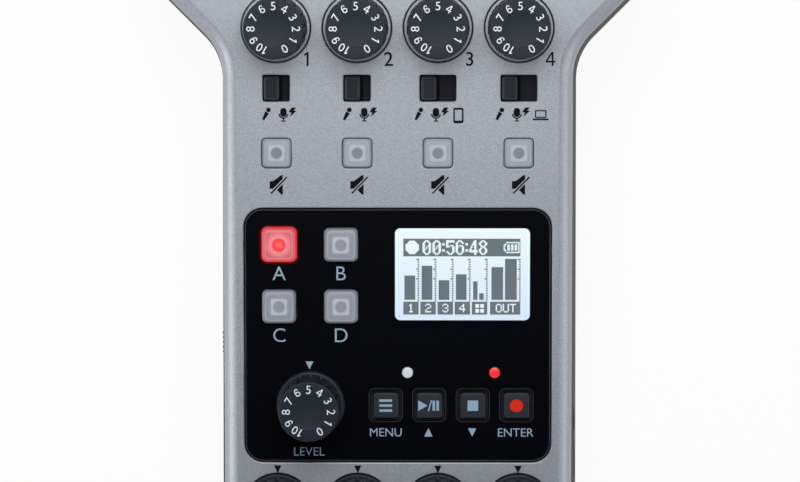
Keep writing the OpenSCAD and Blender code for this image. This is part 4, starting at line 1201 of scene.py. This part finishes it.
bolt_edge = [(3.5, 30.82), (4.52, 30.82), (4.0, 30.13), (4.6, 30.09)]
bolt_edge += [(3.05, 28.72), (3.42, 29.72), (2.76, 29.72)]
lever_signs = hand_mic() + studio_mic() + [outline(bolt_edge)]
horn = [(-1.55, 0.85), (-0.75, 0.89), (1.07, 2.24), (1.43, 2.19)]
horn += [(1.43, 1.38), (-0.74, -0.85), (-1.55, -0.85)]
horn_rest = [(0.06, -1.13), (1.43, 0.21), (1.43, -2.19), (1.1, -2.19)]
speaker_sign = [outline(horn), outline(horn_rest), stroke((-1.24, -1.92), (2.39, 1.81), 0.34)]
mark_sign = outline([(-mark_w / 2, mark_h / 2), (0, -mark_h / 2), (mark_w / 2, mark_h / 2)])
deck_nets = []
for i, (x, shift) in enumerate(zip(channel_x, sign_shift), 1):
    number_spot = np.array([x + number_place[0], number_place[1]])
    deck_nets += number_net(str(i), number_h, number_spot, print_w, 0.0, 0.006)
    deck_nets += ink_net(lever_signs, (x + shift, 0), print_w)
    deck_nets += ink_net(speaker_sign, (x, speaker_y), print_w)
    deck_nets += ink_net([mark_sign * phones_mark_size], (x, phones_mark_y), print_w)
    deck_nets += ink_net([mark_sign], (x, gain_mark_y), print_w)
for x, sign in ((channel_x[2], (phone_frame, phone_screen)), (channel_x[3], (laptop_frame, laptop_screen))):
    deck_nets += slab([square_loop(*edge)() + (x, 0) for edge in sign], print_w, print_w + ink_t)
deck_nets += ink_net([square_loop(*laptop_base)()], (channel_x[3], 0), print_w)
fit(make_piece("deck_print", deck_nets, deck_ink), "panel_black")

# Panel printing: pale letters and marks screen printed on the black panel. Letters stand under the pads,
# words and arrows under the keys, and the dial has a word below it and an index mark above.
panel_print_w = panel_top - ink_sink
pad_letter_h = 3.1
pad_letter_y = (-6.78, -20.92)
key_word_h = 1.88
key_word_y = -43.17
dial_word_h = 1.9
dial_word_y = -47.6
dial_mark_y = -27.8
arrow_size = 1.2
dial_mark_size = 1.12
thin = -0.006
dial_x = dial_place[0]
letter_places = [(x, y) for y in pad_letter_y for x in pad_x]
panel_words = [(letter, pad_letter_h, p, thin) for letter, p in zip("ABCD", letter_places)]
panel_words.append(("MENU", key_word_h, (key_x[0], key_word_y), thin / 2))
panel_words.append(("ENTER", key_word_h, (key_x[3] - 0.15, key_word_y), thin / 2))
panel_words.append(("LEVEL", dial_word_h, (dial_x - 0.3, dial_word_y), thin))
print_nets = []
for word, height, p, bold in panel_words:
    print_nets += lettering(word, height, p, panel_print_w, 0.0, bold)
print_nets += ink_net([-mark_sign * arrow_size], (key_x[1] - 0.2, key_word_y), panel_print_w)
print_nets += ink_net([mark_sign * arrow_size], (key_x[2] - 0.15, key_word_y), panel_print_w)
print_nets += ink_net([mark_sign * dial_mark_size], (dial_x - 0.2, dial_mark_y), panel_print_w)
fit(make_piece("panel_print", print_nets, pale_ink), "button_frost")

# Sockets and small fittings: microphone sockets with pressed latches at the rear, phone jacks at the
# front, data ports, a card slot and a power slide at the sides, rubber feet and the battery cover below.


def softened(node, finish, edge, slot):
    """A copy of a part with its edges rounded: doubles merged, flat faces joined, then bevelled."""
    source = frame["nodes"][node]
    mesh = source.data.copy()
    form = bmesh.new()
    form.from_mesh(mesh)
    bmesh.ops.remove_doubles(form, verts=form.verts, dist=2e-6)
    bmesh.ops.dissolve_limit(form, angle_limit=math.radians(0.5), verts=form.verts, edges=form.edges)
    form.to_mesh(mesh)
    form.free()
    mesh.materials.clear()
    mesh.materials.append(finish)
    mesh.shade_smooth()
    piece = bpy.data.objects.new(f"{node}_soft", mesh)
    bpy.context.scene.collection.objects.link(piece)
    bevel = piece.modifiers.new("edge", "BEVEL")
    bevel.width = edge * MM
    bevel.segments = 2
    bevel.limit_method = "ANGLE"
    bevel.angle_limit = math.radians(35)
    bevel.harden_normals = True
    fit(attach(piece, source["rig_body"]), slot, node)


def bright_metal(name, dark, light, roughness):
    """Pressed and plated metal: fine drawn lines and small differences in gloss."""
    material, coords, feed = new_finish(name, metallic=1.0)
    stretched = coords.node("ShaderNodeMapping", None, {"Vector": coords, "Scale": (1.0, 0.08, 1.0)})
    lines = noise(stretched, 9000.0)
    feed("Base Color", lines.mix(dark, light))
    feed("Roughness", roughness + 0.15 * lines)
    return material


socket_plastic = grained_plastic("socket_plastic", tone(24, 25, 28), tone(34, 35, 38), 0.45, 2500.0, 0.000008)
steel = bright_metal("steel", tone(150, 152, 156), tone(196, 198, 202), 0.3)
gold = bright_metal("gold", tone(196, 160, 84), tone(226, 192, 112), 0.28)
rubber = grained_plastic("rubber", tone(26, 27, 29), tone(36, 37, 39), 0.75, 2200.0, 0.00002)
softened("xlr_jacks", socket_plastic, 0.25, "socket_black")
softened("audio_jacks", socket_plastic, 0.2, "socket_black")
softened("data_ports", steel, 0.08, "component_metal")
softened("card_socket", steel, 0.1, "component_metal")
softened("feet", rubber, 0.5, "foot_rubber")
softened("battery_cover", case_plastic, 0.15, "dark_shell")
for i in range(1, 5):
    softened(f"xlr_latch_{i}", steel, 0.2, "steel")

# Power slide: a small moulded cap with ribs across it, in a slot of the left side. It stands just
# clear of the wall, where a finger tip catches its ribs, and drives the switch behind it.
slide_low, slide_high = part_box("power_slider")
rib_count = 5
rib_depth = 0.25
rib_sink = 0.7


def ribbed_outline(low, high):
    """Plan of the cap: a straight back and a face of alternating ribs and grooves."""
    y = np.linspace(low.y, high.y, 4 * rib_count - 1) / MM
    face = low.x / MM + rib_sink + rib_depth * np.tile([0, 0, 1, 1], rib_count)[:len(y)]
    back = [(high.x / MM, high.y / MM), (high.x / MM, low.y / MM)]
    return np.concatenate([np.column_stack([face, y]), back])


slide_plastic = grained_plastic("slide_plastic", tone(26, 30, 38), tone(34, 38, 47), 0.45, 4000.0, 0.000005,
                                0.2)
slide_nets = slab([ribbed_outline(slide_low, slide_high)], slide_low.z / MM, slide_high.z / MM)
slide_cap = make_piece("power_slide_cap", slide_nets, slide_plastic, "power_slider", as_built)
fit(slide_cap, "lever_dark", "power_slider")

# Inside: two circuit boards with controls, switches and contacts soldered to them, two cells in their
# bay and the screws that hold the case. They show only through openings and when the cover slides.
solder_mask = grained_plastic("solder_mask", tone(18, 62, 40), tone(28, 84, 54), 0.35, 900.0, 0.000004)
switch_plastic = grained_plastic("switch_plastic", tone(22, 23, 25), tone(34, 35, 38), 0.5, 2500.0, 0.000006)
cell_wrap = grained_plastic("cell_wrap", tone(52, 96, 70), tone(70, 118, 90), 0.3, 700.0, 0.000003)
dress(solder_mask, "control_board", "jack_board")
dress(switch_plastic, "switch_bodies", "key_switches")
dress(cell_wrap, "batteries")
dress(gold, "xlr_contacts", "battery_contacts")
dress(steel, "pot_bodies", "screws", "pad_level_shaft")
dress(steel, *[f"{kind}_shaft_{i}" for kind in ("gain", "phones") for i in range(1, 5)])

# Stage: a white bowl of paper under soft lamps, with the camera straight above the deck. The bowl shows
# white to the camera and in reflections, and keeps a little of the recorder's shadow.
bowl_sink = -0.0003
bowl_profile = [(0.0, bowl_sink), (0.6, bowl_sink), (1.4, bowl_sink)]
bowl_profile += [(1.9, 0.06), (2.3, 0.3), (2.5, 0.8), (2.5, 2.2)]
white_share = 0.93
world_light = 0.2
camera_place = Vector((0.01, 0.03, 0.753))
camera_aim = Vector((0.00054, 0.0006, 0.033))


def white_paper(name):
    """Matt paper that camera, mirror and clear rays see mostly as white light, so some shadow stays on it."""
    material = bpy.data.materials.new(name)
    material.use_nodes = True
    tree = material.node_tree
    tree.nodes.clear()
    wire = Shade(tree)
    seen = wire.node("ShaderNodeLightPath", out="Is Camera Ray")
    shiny = wire.node("ShaderNodeLightPath", out="Is Glossy Ray")
    clear = wire.node("ShaderNodeLightPath", out="Is Transmission Ray")
    share = white_share * seen.most(shiny.most(clear))
    matt = wire.node("ShaderNodeBsdfDiffuse", None, {"Color": (0.9, 0.9, 0.9, 1.0)})
    white = wire.node("ShaderNodeEmission", None, {"Color": (1.0, 1.0, 1.0, 1.0), "Strength": 1.0})
    blend = wire.node("ShaderNodeMixShader", None, {0: share, 1: matt, 2: white})
    wire.feed(tree.nodes.new("ShaderNodeOutputMaterial").inputs["Surface"], blend)
    return material


bowl_rows = [level(round_loop((0, 0), r)(), z) / MM for r, z in bowl_profile]
bowl = make_piece("paper_bowl", [net(bowl_rows)], white_paper("paper"), place=as_built)
bowl.parent = None

world = bpy.data.worlds.new("studio")
world.use_nodes = True
sky = world.node_tree.nodes["Background"].inputs
sky["Color"].default_value = (1.0, 1.0, 1.0, 1.0)
sky["Strength"].default_value = world_light
bpy.context.scene.world = world


def soft_lamp(name, place, aim, size, power):
    """A square lamp turned so that it faces a point."""
    lamp = bpy.data.lights.new(name, "AREA")
    lamp.size = size
    lamp.energy = power
    holder = bpy.data.objects.new(name, lamp)
    holder.location = place
    holder.rotation_euler = (Vector(aim) - Vector(place)).to_track_quat("-Z", "Y").to_euler()
    holder.visible_camera = False
    bpy.context.scene.collection.objects.link(holder)


soft_lamp("rear_lamp", (0.0, 0.155, 0.35), (0.0, 0.03, 0.03), 0.28, 1.15)
soft_lamp("left_lamp", (-0.6, -0.1, 0.06), (0.0, 0.0, 0.03), 0.3, 1.9)
soft_lamp("right_lamp", (0.6, -0.1, 0.06), (0.0, 0.0, 0.03), 0.3, 1.0)

camera = bpy.data.cameras.new("camera")
camera.sensor_width = 36.0
camera.lens = 143.3
viewer = bpy.data.objects.new("camera", camera)
viewer.location = camera_place
back = (camera_place - camera_aim).normalized()
right = Vector((0.0, 1.0, 0.0)).cross(back).normalized()
viewer.rotation_euler = Matrix((right, back.cross(right), back)).transposed().to_euler()
bpy.context.scene.collection.objects.link(viewer)
bpy.context.scene.camera = viewer
bpy.context.scene.view_settings.view_transform = "Standard"
